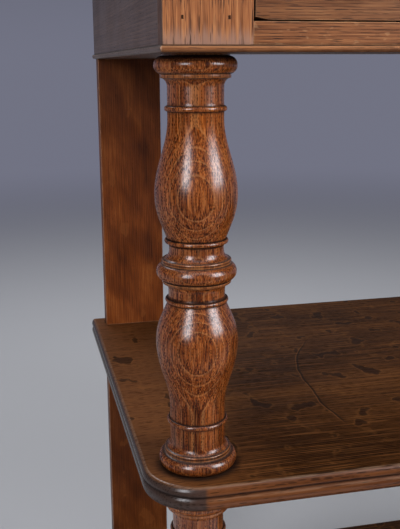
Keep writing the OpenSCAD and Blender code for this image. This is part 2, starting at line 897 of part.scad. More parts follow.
module left_end_panel() { end_panel(); }
module right_end_panel() { flipped() end_panel(); }
module left_front_stile() { front_stile(); }
module right_front_stile() { flipped() front_stile(); }
module left_bead() { side_bead(); }
module right_bead() { flipped() side_bead(); }
module left_bearer() { bearer(); }
module right_bearer() { flipped() bearer(); }
module left_corner_block() { corner_block(); }
module right_corner_block() { flipped() corner_block(); }
module left_runner() { side_runner(); }
module right_runner() { flipped() side_runner(); }
module left_guide() { side_guide(); }
module right_guide() { flipped() side_guide(); }
module left_kicker() { side_kicker(); }
module right_kicker() { flipped() side_kicker(); }
module upper_left_column() { upper_column(); }
module upper_right_column() { flipped() upper_column(); }
module lower_left_column() { lower_column(); }
module lower_right_column() { flipped() lower_column(); }
module upper_left_rear_board() { upper_rear_board(); }
module upper_right_rear_board() { flipped() upper_rear_board(); }
module lower_left_rear_board() { lower_rear_board(); }
module lower_right_rear_board() { flipped() lower_rear_board(); }
module front_left_foot() { front_foot(); }
module front_right_foot() { flipped() front_foot(); }
module rear_left_foot() { rear_foot(); }
module rear_right_foot() { flipped() rear_foot(); }
module left_drawer_front() { drawer_front(); }
module right_drawer_front() { flipped() drawer_front(); }
module left_drawer_outer_side() { outer_side(); }
module right_drawer_outer_side() { flipped() outer_side(); }
module left_drawer_inner_side() { inner_side(); }
module right_drawer_inner_side() { flipped() inner_side(); }
module left_drawer_back() { drawer_back(); }
module right_drawer_back() { flipped() drawer_back(); }
module left_drawer_bottom() { drawer_bottom(); }
module right_drawer_bottom() { flipped() drawer_bottom(); }
module left_drawer_knobs() { drawer_knobs(); }
module right_drawer_knobs() { flipped() drawer_knobs(); }
module left_drawer_screws() { drawer_screws(); }
module right_drawer_screws() { flipped() drawer_screws(); }

top_board();
middle_shelf();
lower_shelf();
left_end_panel();
right_end_panel();
left_front_stile();
right_front_stile();
centre_stile();
top_rail();
bottom_rail();
back_rail();
back_panel();
front_bead();
left_bead();
right_bead();
left_bearer();
right_bearer();
left_corner_block();
right_corner_block();
left_runner();
centre_runner();
right_runner();
left_guide();
centre_guide();
right_guide();
left_kicker();
centre_kicker();
right_kicker();
drawer_stops();
glue_blocks();
top_screws();
back_screws();
stile_nails();
left_drawer_front();
left_drawer_outer_side();
left_drawer_inner_side();
left_drawer_back();
left_drawer_bottom();
left_drawer_knobs();
left_drawer_screws();
right_drawer_front();
right_drawer_outer_side();
right_drawer_inner_side();
right_drawer_back();
right_drawer_bottom();
right_drawer_knobs();
right_drawer_screws();
upper_left_column();
upper_right_column();
lower_left_column();
lower_right_column();
upper_left_rear_board();
upper_right_rear_board();
lower_left_rear_board();
lower_right_rear_board();
front_left_foot();
front_right_foot();
rear_left_foot();
rear_right_foot();
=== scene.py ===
import json
import math

import bpy
from mathutils import Matrix, Vector

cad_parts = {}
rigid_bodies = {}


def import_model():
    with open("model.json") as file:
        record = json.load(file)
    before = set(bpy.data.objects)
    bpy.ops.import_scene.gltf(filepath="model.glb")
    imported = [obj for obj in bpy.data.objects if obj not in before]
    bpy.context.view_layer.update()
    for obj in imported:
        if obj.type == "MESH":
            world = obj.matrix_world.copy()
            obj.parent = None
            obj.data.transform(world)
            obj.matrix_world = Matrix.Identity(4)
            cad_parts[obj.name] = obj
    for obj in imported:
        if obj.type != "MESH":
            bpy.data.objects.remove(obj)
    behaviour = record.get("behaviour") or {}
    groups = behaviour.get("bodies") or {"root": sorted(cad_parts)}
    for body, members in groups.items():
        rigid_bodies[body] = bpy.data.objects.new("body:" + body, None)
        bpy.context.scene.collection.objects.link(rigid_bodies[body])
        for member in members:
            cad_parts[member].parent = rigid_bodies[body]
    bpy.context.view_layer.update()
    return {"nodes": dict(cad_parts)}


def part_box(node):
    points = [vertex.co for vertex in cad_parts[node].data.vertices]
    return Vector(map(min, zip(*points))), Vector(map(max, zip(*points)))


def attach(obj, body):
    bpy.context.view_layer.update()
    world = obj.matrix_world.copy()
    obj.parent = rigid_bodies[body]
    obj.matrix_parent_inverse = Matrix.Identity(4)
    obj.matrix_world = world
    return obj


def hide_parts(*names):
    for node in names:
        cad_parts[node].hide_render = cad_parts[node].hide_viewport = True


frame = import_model()
mm = 0.001
hair = 0.001 * mm
mergeDistance = 0.01 * mm
print("frame loaded:", len(frame["nodes"]), "nodes")


# Places taken from the frame
def standAt(node, z):
    low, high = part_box(node)
    return Vector(((low.x + high.x) / 2, (low.y + high.y) / 2, z))


shelfLow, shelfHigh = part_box("middle_shelf")
columnAxis = standAt("upper_left_column", 0)
columnFoot = columnAxis + Vector((0, 0, shelfHigh.z))
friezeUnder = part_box("front_bead")[0].z


# Camera: the photograph's standpoint, from the foot of the upper left column. Angles in degrees
cameraPlace = {
    "fromFoot": Vector((-165.0, -729.2, 388.6)) * mm,
    "down": 13.78,
    "towardsRight": 13.0,
    "roll": -0.27,
    "lens": 54.95,
    "sensor": 36.0,
    "near": 0.05,
}


def placeCamera(place):
    bpy.ops.object.camera_add()
    eye = bpy.context.object
    eye.name = "photoCamera"
    turned = Matrix.Rotation(math.radians(-place["towardsRight"]), 4, "Z")
    tilted = Matrix.Rotation(math.radians(90 - place["down"]), 4, "X")
    rolled = Matrix.Rotation(math.radians(place["roll"]), 4, "Z")
    eye.matrix_world = Matrix.Translation(columnFoot + place["fromFoot"]) @ turned @ tilted @ rolled
    eye.data.lens = place["lens"]
    eye.data.sensor_width = place["sensor"]
    eye.data.clip_start = place["near"]
    bpy.context.scene.camera = eye


# Shader building: a wrapped socket takes part in Python sums
class Wire:
    def __init__(self, graph, socket):
        self.graph = graph
        self.socket = socket

    def __add__(self, other):
        return self.graph.maths("ADD", self, other)

    def __radd__(self, other):
        return self.graph.maths("ADD", other, self)

    def __sub__(self, other):
        return self.graph.maths("SUBTRACT", self, other)

    def __rsub__(self, other):
        return self.graph.maths("SUBTRACT", other, self)

    def __mul__(self, other):
        return self.graph.maths("MULTIPLY", self, other)

    def __rmul__(self, other):
        return self.graph.maths("MULTIPLY", other, self)

    def __truediv__(self, other):
        return self.graph.maths("DIVIDE", self, other)


class Graph:
    def __init__(self, owner):
        owner.use_nodes = True
        self.owner = owner
        self.tree = owner.node_tree
        self.tree.nodes.clear()

    def node(self, kind, settings=None, inputs=None, output=0):
        made = self.tree.nodes.new(kind)
        for key, value in (settings or {}).items():
            if key == "stops":
                ramp = made.color_ramp
                while len(ramp.elements) < len(value):
                    ramp.elements.new(0.5)
                for element, (place, colour) in zip(ramp.elements, value):
                    element.position = place
                    element.color = (*colour, 1)
            else:
                setattr(made, key, value)
        for key, value in (inputs or {}).items():
            if isinstance(value, Wire):
                self.tree.links.new(value.socket, made.inputs[key])
            else:
                made.inputs[key].default_value = value
        return Wire(self, made.outputs[output]) if len(made.outputs) else None

    def maths(self, operation, *values):
        return self.node("ShaderNodeMath", {"operation": operation}, dict(enumerate(values)))

    def smooth(self, value, low, high):
        settings = {"interpolation_type": "SMOOTHSTEP"}
        inputs = {"Value": value, "From Min": low, "From Max": high}
        return self.node("ShaderNodeMapRange", settings, inputs)

    def length(self, a, b):
        return self.maths("SQRT", a * a + b * b)

    def mix(self, factor, a, b):
        a, b = (value if isinstance(value, Wire) else (*value, 1) for value in (a, b))
        return self.node("ShaderNodeMix", {"data_type": "RGBA"}, {0: factor, 6: a, 7: b}, 2)

    def vector(self, x, y, z):
        return self.node("ShaderNodeCombineXYZ", None, {0: x, 1: y, 2: z})

    def split(self, vector):
        first = self.node("ShaderNodeSeparateXYZ", None, {"Vector": vector})
        return [Wire(self, output) for output in first.socket.node.outputs]

    def noise(self, vector, detail=0.0, roughness=0.5):
        return self.node("ShaderNodeTexNoise", None, {
            "Vector": vector, "Scale": 1.0, "Detail": detail, "Roughness": roughness,
        })

    def finish(self, surface, output="ShaderNodeOutputMaterial"):
        self.node(output, None, {"Surface": surface})
        return self.owner


# Oak. "axes" names the grain direction, the direction across it and the depth below the face.
# "flecks" are rays: scale outwards, scale along, threshold, share, colour.
# "blots" are flakes: scale across, scale along, threshold, share, colour and the colour of their rim.
# The dark rings round a column's foot are grime and painted contact shade: x, y, full radius and outer
# radius.
# "veils" are tints that come in along an axis: axis, start, full, share, raggedness in mm, colour
oakBase = {
    "axes": "zxy", "shift": (0.0, 0.0, 0.0), "pith": (0.30, 0.02), "ring": 2.6, "sway": 9.0, "ripple": 1.2,
    "streaks": 1.0, "fibres": 0.7, "clouds": 0.6, "flame": 0.0,
    "earlyTone": 0.12, "lateLine": (0.42, 0.20, 0.085), "lateShare": 0.15, "lineShare": 0.0,
    "pore": (0.024, 0.010, 0.006), "poreDepth": 0.85, "poreScale": 800.0, "poreLength": 5.0,
    "poreSize": (0.20, 0.36), "poreOrder": 0.75, "poreThrough": 1.0, "rowScale": 800.0, "rowShare": 0.6,
    "flecks": (), "blots": (), "dirtAndShadeRings": (), "veils": (), "scratch": {}, "roundEnds": False,
    "endColour": (0.060, 0.036, 0.027), "endShare": 0.8, "endFrom": (0.75, 0.95),
    "grimeAndShade": (0.010, 0.006, 0.005), "rubAndSheen": (0.46, 0.25, 0.13), "rubAndSheenAmount": 0.5,
    "scuffSize": (150.0, 110.0), "scuffLeast": 0.45, "lostShare": 0.5,
    "glossVary": 0.12, "coat": 0.0, "coatRoughness": 0.2, "coatIndex": 1.5,
    "specular": 0.5, "bump": 0.35, "wave": 0.0,
}

# Noise in every oak: scale across the grain, scale along it, detail, roughness
oakNoise = {
    "sway": (4.0, 1.1, 1.0),
    "ripple": (28.0, 5.0, 2.0),
    "vessel": (60.0, 12.0, 1.0),
    "fibre": (1300.0, 26.0, 2.0, 0.6),
    "streak": (210.0, 3.0, 4.0, 0.7),
    "cloud": (6.0, 2.6, 3.0, 0.55),
    "smear": (24.0, 16.0, 2.0),
    "wave": (30.0, 22.0, 1.0),
}

# Masks in every oak: where each one starts and where it is full
oakSteps = {
    "earlyEnd": (0.05, 0.5),
    "lateRise": (0.78, 0.92),
    "lateFall": (0.95, 1.0),
    "poreEdge": (-0.12, 0.05),
    "poreRow": (0.42, 0.60),
    "paleRow": (0.30, 0.46),
    "level": (0.8, 0.98),
    "upward": (0.25, 0.7),
    "scuff": (0.38, 0.62),
    "underside": (-0.4, -0.02),
}

# Amounts in every oak. "dull" is for pores, grime with painted shade, and ends, "heights" for fibres, pores
# and early wood,
# "polish" for what pores and grime with painted shade take away and what an underside keeps
oakAmounts = {
    "vesselVary": 0.2,
    "rowLength": 40,
    "cloudGain": 1.6,
    "flame": (26.0, 18.0, 16.0),
    "rayTurn": 1300.0,
    "raySway": 300.0,
    "rayEdge": 0.08,
    "blotDetail": 2.5,
    "blotEdge": 0.035,
    "rimReach": 0.05,
    "rimShare": 0.35,
    "endStreak": (1.2, 0.4),
    "endLight": 2.2,
    "grimeAndShade": 0.85,
    "dull": (0.3, 0.3, 0.1),
    "heights": (0.5, 0.9, 0.15),
    "bumpDistance": 0.3 * mm,
    "polish": (0.5, 0.92, 0.2),
}


def oak(name, **changes):
    look = {**oakBase, **changes}
    amounts = oakAmounts
    g = Graph(bpy.data.materials.new(name))
    place = g.node("ShaderNodeTexCoord", None, None, "Object")
    moved = g.node("ShaderNodeMapping", None, {"Vector": place, "Location": look["shift"]})
    parts = dict(zip("xyz", g.split(moved)))
    along, across, depth = (parts[letter] for letter in look["axes"])

    def grain(acrossScale, alongScale, detail=0.0, roughness=0.5):
        scaled = g.vector(across * acrossScale, depth * acrossScale, along * alongScale)
        return g.noise(scaled, detail, roughness)

    def step(value, mask):
        return g.smooth(value, *oakSteps[mask])

    # Growth rings round a pith line, wandering slowly along the board
    a = across - look["pith"][0]
    b = depth - look["pith"][1]
    sway = (grain(*oakNoise["sway"]) - 0.5) * (look["sway"] * 2 * mm)
    ripple = (grain(*oakNoise["ripple"]) - 0.5) * (look["ripple"] * 2 * mm)
    radius = g.length(a, b) + sway + ripple
    ring = g.maths("FRACT", radius / (look["ring"] * mm))
    early = 1.0 - step(ring, "earlyEnd")
    late = step(ring, "lateRise") * (1.0 - step(ring, "lateFall"))

    # Vessels: short dark pits in rows, widest in the early wood, with pale lines between the rows
    rows = look["poreScale"]
    through = look["poreThrough"]
    pitPlace = g.vector(across * rows, depth * (rows * through), along * (rows / look["poreLength"]))
    pit = g.node("ShaderNodeTexVoronoi", {"feature": "F1"}, {
        "Vector": pitPlace, "Scale": 1.0, "Randomness": look["poreOrder"],
    }, "Distance")
    small, large = look["poreSize"]
    vessel = (grain(*oakNoise["vessel"]) - 0.5) * amounts["vesselVary"]
    pores = 1.0 - step(pit - (small + early * (large - small) + vessel), "poreEdge")
    wide = look["rowScale"]
    rowPlace = g.vector(across * wide, depth * (wide * through), along * (wide / amounts["rowLength"]))
    rowTone = g.noise(rowPlace)
    pores = pores * (1.0 - look["rowShare"] * (1.0 - step(rowTone, "poreRow")))
    lines = (1.0 - step(rowTone, "paleRow")) * look["lineShare"]

    fibre = grain(*oakNoise["fibre"])
    streak = grain(*oakNoise["streak"])
    cloud = grain(*oakNoise["cloud"])
    tone = 0.5 + (streak - 0.5) * look["streaks"] + (fibre - 0.5) * look["fibres"]
    tone = tone - early * look["earlyTone"] + (cloud - 0.5) * (look["clouds"] * amounts["cloudGain"])
    if look["flame"]:
        acrossScale, alongScale, slant = amounts["flame"]
        slanting = along * alongScale + across * slant
        flame = g.noise(g.vector(across * acrossScale, depth * acrossScale, slanting), 2.0)
        tone = tone + (flame - 0.5) * look["flame"]
    colour = g.node("ShaderNodeValToRGB", {"stops": look["shades"]}, {"Fac": tone})
    colour = g.mix(late * look["lateShare"], colour, look["lateLine"])

    # Rays: thin plates that run out from the pith, wide where the cut follows them
    if look["flecks"]:
        outScale, alongScale, start, share, pale = look["flecks"]
        turn = g.maths("ARCTAN2", a, b) * (math.hypot(*look["pith"]) * amounts["rayTurn"])
        rising = along * alongScale + sway * amounts["raySway"]
        plates = g.noise(g.vector(turn, radius * outScale, rising), 1.0, 0.6)
        colour = g.mix(g.smooth(plates, start, start + amounts["rayEdge"]) * share, colour, pale)
    colour = g.mix(lines, colour, look["lateLine"])

    # Tints, flakes and the scratch
    x, y, z = g.split(place)
    facing = g.split(g.node("ShaderNodeNewGeometry", None, None, "Normal"))
    level = step(facing[2], "level")
    for axis, start, full, share, ragged, tint in look["veils"]:
        edge = (x, y, z)["xyz".index(axis)] + (streak - 0.5) * (ragged * mm)
        veil = g.smooth(edge, min(start, full), max(start, full))
        colour = g.mix((veil if start < full else 1.0 - veil) * share, colour, tint)
    if look["blots"]:
        acrossScale, alongScale, start, share, dark, rim = look["blots"]
        blot = grain(acrossScale, alongScale, amounts["blotDetail"])
        share = level * share if look["roundEnds"] else share
        halo = g.smooth(blot, start - amounts["rimReach"], start) * amounts["rimShare"] * share
        colour = g.mix(halo, colour, rim)
        colour = g.mix(g.smooth(blot, start, start + amounts["blotEdge"]) * share, colour, dark)
    if look["scratch"]:
        mark = look["scratch"]
        centreX, centreY = mark["centre"]
        start, stop = mark["span"]
        apart = g.length(x - centreX, y - centreY) - mark["radius"] + (cloud - 0.5) * mark["wander"]
        stretch = g.smooth(y, start, start + mark["fadeIn"])
        stretch = stretch * (1.0 - g.smooth(y, stop - mark["fadeOut"], stop)) * level
        lip = 1.0 - g.smooth(g.maths("ABSOLUTE", apart - mark["lipOut"]), *mark["lip"])
        cut = 1.0 - g.smooth(g.maths("ABSOLUTE", apart), *mark["cut"])
        colour = g.mix(stretch * lip * mark["lipShare"], colour, look["lateLine"])
        colour = g.mix(stretch * cut * mark["cutShare"], colour, look["pore"])

    # End grain drinks the stain and holds the dust
    end = g.maths("ABSOLUTE", facing["xyz".index(look["axes"][0])])
    if look["roundEnds"]:
        upward = facing[2] * facing[2]
        end = end / g.maths("SQRT", 1.001 - upward)
        end = g.smooth(end, *look["endFrom"]) * (1.0 - step(upward, "upward"))
    else:
        end = g.smooth(end, *look["endFrom"])
    gain, middle = amounts["endStreak"]
    lighter = tuple(c * amounts["endLight"] for c in look["endColour"])
    ends = g.mix((streak - 0.5) * gain + middle, look["endColour"], lighter)
    colour = g.mix(end * look["endShare"], colour, ends)
    colour = g.mix(pores * look["poreDepth"], colour, look["pore"])

    # Wear and painted light carried by the mesh: red is grime and painted shade in the hollows, creases and
    # shaded bands, green is rubbed edges with a painted sheen on the boards' arrises, blue is lost polish
    worn = g.node("ShaderNodeAttribute", {"attribute_name": "wear"}, None, "Vector")
    grimeAndShade, rubAndSheen, lost = g.split(worn)
    # dark rings round the columns' feet: grime and painted contact shade
    for centreX, centreY, inner, outer in look["dirtAndShadeRings"]:
        apart = g.length(g.maths("ABSOLUTE", x) - centreX, y - centreY)
        grimeAndShade = g.maths("MAXIMUM", grimeAndShade, 1.0 - g.smooth(apart, inner, outer))
    scuffs = step(grain(*look["scuffSize"], 2.0), "scuff")
    scuffs = look["scuffLeast"] + scuffs * (1.0 - look["scuffLeast"])
    colour = g.mix(rubAndSheen * (1.0 - end) * look["rubAndSheenAmount"] * scuffs, colour, look["rubAndSheen"])
    # grime and painted shade darken the hollows, creases and shaded bands
    colour = g.mix(grimeAndShade * amounts["grimeAndShade"], colour, look["grimeAndShade"])

    smears = (grain(*oakNoise["smear"]) - 0.5) * (look["glossVary"] * 2.0)
    overPores, overGrimeAndShade, overEnds = amounts["dull"]
    dull = pores * overPores + grimeAndShade * overGrimeAndShade + end * overEnds
    high, deep, low = amounts["heights"]
    height = (fibre - 0.5) * high - pores * deep - early * low + grain(*oakNoise["wave"]) * look["wave"]
    normal = g.node("ShaderNodeBump", None, {
        "Height": height, "Strength": look["bump"], "Distance": amounts["bumpDistance"],
    })
    overPores, overGrimeAndShade, under = amounts["polish"]
    polish = (1.0 - pores * overPores) * (1.0 - grimeAndShade * overGrimeAndShade) * (1.0 - lost * look["lostShare"])
    polish = polish * (under + step(facing[2], "underside") * (1.0 - under))
    surface = g.node("ShaderNodeBsdfPrincipled", None, {
        "Base Color": colour, "Roughness": look["gloss"] + smears + dull, "Normal": normal,
        "Coat Weight": polish * look["coat"], "Coat Roughness": look["coatRoughness"],
        "Coat IOR": look["coatIndex"], "Specular IOR Level": look["specular"],
    })
    return g.finish(surface)


# Looks of the pieces
faceLook = {
    "shades": ((0.08, (0.082, 0.023, 0.007)), (0.40, (0.250, 0.082, 0.027)), (0.62, (0.40, 0.152, 0.054)),
               (0.92, (0.60, 0.280, 0.112))),
    "streaks": 1.3, "fibres": 1.1, "poreScale": 900.0, "poreLength": 16.0, "poreSize": (0.26, 0.56),
    "poreDepth": 0.82, "gloss": 0.47, "specular": 0.2, "rubAndSheen": (0.50, 0.27, 0.13),
}
stileLook = {
    **faceLook, "pith": (0.012, 0.055), "sway": 14.0, "ring": 3.2, "lateShare": 0.1,
}
railLook = {
    **faceLook, "axes": "xzy", "flecks": (30.0, 90.0, 0.60, 0.4, (0.44, 0.22, 0.10)),
    "shades": ((0.08, (0.074, 0.022, 0.007)), (0.40, (0.200, 0.068, 0.023)), (0.62, (0.305, 0.115, 0.040)),
               (0.92, (0.48, 0.220, 0.088))),
}
drawerLook = {
    **faceLook,
    "shades": ((0.08, (0.070, 0.023, 0.009)), (0.40, (0.148, 0.052, 0.019)), (0.62, (0.225, 0.087, 0.032)),
               (0.92, (0.36, 0.165, 0.069))),
}
sideLook = {
    "shades": ((0.1, (0.045, 0.024, 0.018)), (0.5, (0.092, 0.054, 0.042)), (0.9, (0.150, 0.092, 0.072))),
    "pore": (0.014, 0.009, 0.007), "gloss": 0.42, "rubAndSheen": (0.20, 0.14, 0.11),
}
turnedLook = {
    "ring": 3.3, "sway": 5.0, "ripple": 0.9,
    "shades": ((0.08, (0.036, 0.007, 0.002)), (0.40, (0.130, 0.024, 0.003)), (0.62, (0.240, 0.054, 0.007)),
               (0.92, (0.44, 0.130, 0.026))),
    "lateLine": (0.46, 0.19, 0.06), "lateShare": 0.35, "earlyTone": 0.08, "streaks": 1.3, "fibres": 1.7,
    "poreScale": 880.0, "poreLength": 2.6, "poreSize": (0.46, 0.53), "poreOrder": 0.7, "poreDepth": 0.8,
    "pore": (0.016, 0.005, 0.002),
    "poreThrough": 0.35, "rowScale": 1500.0, "rowShare": 0.75, "lineShare": 0.25, "lostShare": 0.9,
    "gloss": 0.40, "glossVary": 0.08, "specular": 0.04,
    "coat": 1.0, "coatRoughness": 0.25, "coatIndex": 1.65,
    "bump": 0.3, "wave": 0.9, "rubAndSheen": (0.44, 0.18, 0.06),
}
columnFootDirtAndShade = ((-columnAxis.x, columnAxis.y, 0.036, 0.047),)
boardLook = {
    "axes": "xyz", "pith": (-0.46, 0.02), "sway": 30.0, "ring": 3.4,
    "shades": ((0.08, (0.010, 0.003, 0.001)), (0.42, (0.030, 0.009, 0.001)), (0.62, (0.056, 0.018, 0.003)),
               (0.92, (0.145, 0.052, 0.012))),
    "lateLine": (0.22, 0.084, 0.024), "lateShare": 0.45, "streaks": 1.5,
    "pore": (0.012, 0.005, 0.002), "poreDepth": 0.65, "poreSize": (0.38, 0.50), "poreLength": 7.0,
    "poreScale": 560.0, "rowScale": 520.0, "rowShare": 0.7, "lineShare": 0.45,
    "blots": (25.0, 30.0, 0.608, 0.78, (0.011, 0.003, 0.001), (0.21, 0.082, 0.022)),
    # the pale rub colour: rubbed arrises with a painted sheen
    "clouds": 1.0, "gloss": 0.50, "specular": 0.07, "rubAndSheen": (0.50, 0.31, 0.185), "rubAndSheenAmount": 0.95,
    "scuffSize": (420.0, 40.0), "scuffLeast": 0.15,
    "endColour": (0.024, 0.017, 0.015), "endFrom": (0.03, 0.11), "coat": 0.8, "lostShare": 1.0,
    "coatRoughness": 0.24, "coatIndex": 1.6,
    "roundEnds": True, "dirtAndShadeRings": columnFootDirtAndShade,
    "veils": (
        # the shelves' left end lighter: a painted pool of light, and partly a paler, worn finish
        ("x", columnAxis.x + 0.10, columnAxis.x - 0.03, 0.6, 30.0, (0.17, 0.060, 0.019)),
        ("y", shelfLow.y + 0.0045, shelfLow.y + 0.0015, 0.58, 0.0, (0.17, 0.046, 0.009)),
    ),
}
rearLook = {
    "pith": (0.42, 0.30), "ring": 3.4, "sway": 12.0,
    "shades": ((0.08, (0.036, 0.007, 0.002)), (0.42, (0.122, 0.026, 0.004)), (0.62, (0.195, 0.046, 0.007)),
               (0.92, (0.34, 0.100, 0.021))),
    "pore": (0.030, 0.010, 0.004), "poreDepth": 0.45, "flame": 0.95, "streaks": 0.35, "fibres": 0.9,
    "earlyTone": 0.05, "blots": (46.0, 24.0, 0.62, 0.3, (0.26, 0.080, 0.018), (0.15, 0.045, 0.010)),
    "gloss": 0.45, "specular": 0.2,
}
liningLook = {
    "shades": ((0.1, (0.20, 0.115, 0.058)), (0.5, (0.34, 0.21, 0.115)), (0.9, (0.46, 0.31, 0.18))),
    "lateLine": (0.30, 0.18, 0.09), "pore": (0.10, 0.06, 0.035), "poreDepth": 0.6,
    "gloss": 0.62, "specular": 0.25, "bump": 0.5, "endColour": (0.16, 0.10, 0.055),
    "rubAndSheen": (0.5, 0.36, 0.22), "rubAndSheenAmount": 0.25,
}


def metal(name, dark, bright, metallic):
    g = Graph(bpy.data.materials.new(name))
    place = g.node("ShaderNodeTexCoord", None, None, "Object")
    mottle = g.noise(g.node("ShaderNodeMapping", None, {"Vector": place, "Scale": (700, 700, 700)}), 3.0)
    colour = g.node("ShaderNodeValToRGB", {"stops": [(0.35, dark), (0.6, bright)]}, {"Fac": mottle})
    surface = g.node("ShaderNodeBsdfPrincipled", None, {
        "Base Color": colour, "Metallic": metallic, "Roughness": 0.35 + mottle * 0.5,
    })
    return g.finish(surface)


# Mesh helpers
def letGo():
    bpy.ops.object.select_all(action="DESELECT")


def only(piece):
    letGo()
    piece.select_set(True)
    bpy.context.view_layer.objects.active = piece


def editMesh(selection=None):
    bpy.ops.object.mode_set(mode="EDIT")
    if selection:
        bpy.ops.mesh.select_mode(type="VERT")
        bpy.ops.mesh.select_all(action=selection)


def leaveMesh():
    bpy.ops.object.mode_set(mode="OBJECT")


def smoothBelow(degrees):
    bpy.ops.object.shade_smooth_by_angle(angle=math.radians(degrees))


def selectVertices(piece, wanted):
    editMesh("DESELECT")
    leaveMesh()
    for vertex in piece.data.vertices:
        vertex.select = wanted(vertex.co)
    editMesh()


def drawOutline(name, points):
    letGo()
    bpy.ops.mesh.primitive_plane_add(size=0.01, location=points[0])
    piece = bpy.context.object
    piece.name = name
    bpy.ops.object.transform_apply(location=True, rotation=False, scale=False)
    editMesh("SELECT")
    bpy.ops.mesh.merge(type="CENTER")
    for here, there in zip(points, points[1:]):
        bpy.ops.mesh.extrude_region_move(TRANSFORM_OT_translate={"value": there - here})
    return piece


def tidyMesh():
    editMesh("SELECT")
    bpy.ops.mesh.remove_doubles(threshold=mergeDistance)
    bpy.ops.mesh.normals_make_consistent(inside=False)
    leaveMesh()


def paintWear(piece, wearOf):
    layer = piece.data.color_attributes.new("wear", "FLOAT_COLOR", "CORNER")
    for face in piece.data.polygons:
        for loop in face.loop_indices:
            vertex = piece.data.vertices[piece.data.loops[loop].vertex_index]
            layer.data[loop].color = (*wearOf(vertex.co, face), 1)


def dress(piece, material):
    piece.data.materials.clear()
    piece.data.materials.append(material)


def settle(piece, body, node, material):
    dress(piece, material)
    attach(piece, body)
    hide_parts(node)


# Outline helpers, in millimetres and degrees
def arc(centre, rx, rz, start, end, steps):
    turns = [math.radians(start + (end - start) * i / steps) for i in range(steps + 1)]
    return [(centre[0] + rx * math.cos(t), centre[1] + rz * math.sin(t)) for t in turns]


def bezier(a, b, c, d, steps):
    points = []
    for i in range(steps + 1):
        t = i / steps
        weights = ((1 - t) ** 3, 3 * t * (1 - t) ** 2, 3 * t * t * (1 - t), t ** 3)
        points.append(tuple(sum(w * p[k] for w, p in zip(weights, (a, b, c, d))) for k in (0, 1)))
    return points


def upsideDown(points, height):
    return [(r, height - z) for r, z in reversed(points)]


def withoutRepeats(points, least=0.02):
    kept = [points[0]]
    for point in points[1:]:
        if math.dist(point, kept[-1]) > least:
            kept.append(point)
    return kept


# Steps are short beside the bands of grime and painted shade, so that their darkening has a sharp end
def finely(points, soiledAndShaded, step=1.6, finer=0.6):
    fine = [points[0]]
    for a, b in zip(points, points[1:]):
        detailed = any(low - 2 < b[1] < high + 3 for low, high, _ in soiledAndShaded)
        pieces = max(1, math.ceil(math.dist(a, b) / (finer if detailed else step)))
        fine += [tuple(a[k] + (b[k] - a[k]) * i / pieces for k in (0, 1)) for i in range(1, pieces + 1)]
    return fine


# Wear and painted shade along an outline: hollows and the listed bands get grime and painted shade, arrises
# are rubbed. For both, the bend in degrees from which it shows, and how much more makes it full
bendWear = {
    "reach": 0.9,
    "hollow": (8, 32),
    "arris": (14, 50),
    "dullGain": 1.7,
}


def outlineWear(points, soiledAndShaded, dulled):
    reach = bendWear["reach"]
    hollowFrom, hollowSpan = bendWear["hollow"]
    arrisFrom, arrisSpan = bendWear["arris"]
    bends = [0.0]
    for a, b, c in zip(points, points[1:], points[2:]):
        before, after = Vector((b[0] - a[0], b[1] - a[1])), Vector((c[0] - b[0], c[1] - b[1]))
        bends.append(math.degrees(before.angle_signed(after, 0)))
    bends.append(0.0)
    wear = []
    for here in points:
        grimeAndShade = sum(amount for low, high, amount in soiledAndShaded if low <= here[1] <= high)
        rubAndSheen = 0.0
        for there, bend in zip(points, bends):
            near = math.dist(here, there)
            if near < 3 * reach:
                weight = math.exp(-(near / reach) ** 2)
                grimeAndShade += max(0.0, bend - hollowFrom) / hollowSpan * weight
                rubAndSheen += max(0.0, -bend - arrisFrom) / arrisSpan * weight
        rubAndSheen = min(1.0, rubAndSheen)
        lost = 0.0
        for full, none, amount in dulled:
            if min(full, none) <= here[1] <= max(full, none):
                faded = (none - here[1]) / (none - full) * bendWear["dullGain"]
                lost = max(lost, min(1.0, faded) * amount)
        wear.append((min(1.0, grimeAndShade) * (1 - rubAndSheen), rubAndSheen, lost))
    return wear


# Moulded boards: the reeded edge is drawn once and swept round the corners
boardEdge = {
    "cornerRadius": 57.0,
    "upperReed": 9.8,
    "upperRun": 5.2,
    "groove": 2.0,
    "lowerRun": 5.0,
    "tuck": 2.0,
    "cornerSteps": 24,
}

# Their wear and painted light: reaches in millimetres. The groove holds grime and painted shade, the top
# arris is rubbed lighter with a painted sheen, and the low arris is a painted sheen line with its drop
# below the groove, reach and amount
boardWear = {
    "flat": 0.999,
    "fullGrimeAndShade": 1.3,
    "leastGrimeAndShade": 0.15,
    "grimeAndShadeReach": 2.4,
    "topArris": 2.2,
    "lowArrisSheen": (3.8, 1.7, 0.9),
    "cornerRubAndSheen": 0.25,
    "rubAndSheenFrom": 50.0,
    "rubAndSheenOver": 130.0,
}


def edgeOutline(edge, thickness):
    lowR = (thickness - edge["upperReed"]) / 2
    start = math.degrees(math.acos((edge["lowerRun"] - edge["groove"]) / edge["lowerRun"]))
    rise = edge["upperReed"] - edge["tuck"]
    return withoutRepeats(
        arc((-edge["upperRun"], -rise), edge["upperRun"], rise, 90, 0, 14)
        + arc((-edge["groove"], -rise), edge["groove"], edge["tuck"], 0, -90, 6)
        + arc((-edge["lowerRun"], -edge["upperReed"] - lowR), edge["lowerRun"], lowR, start, -90, 16)
    )


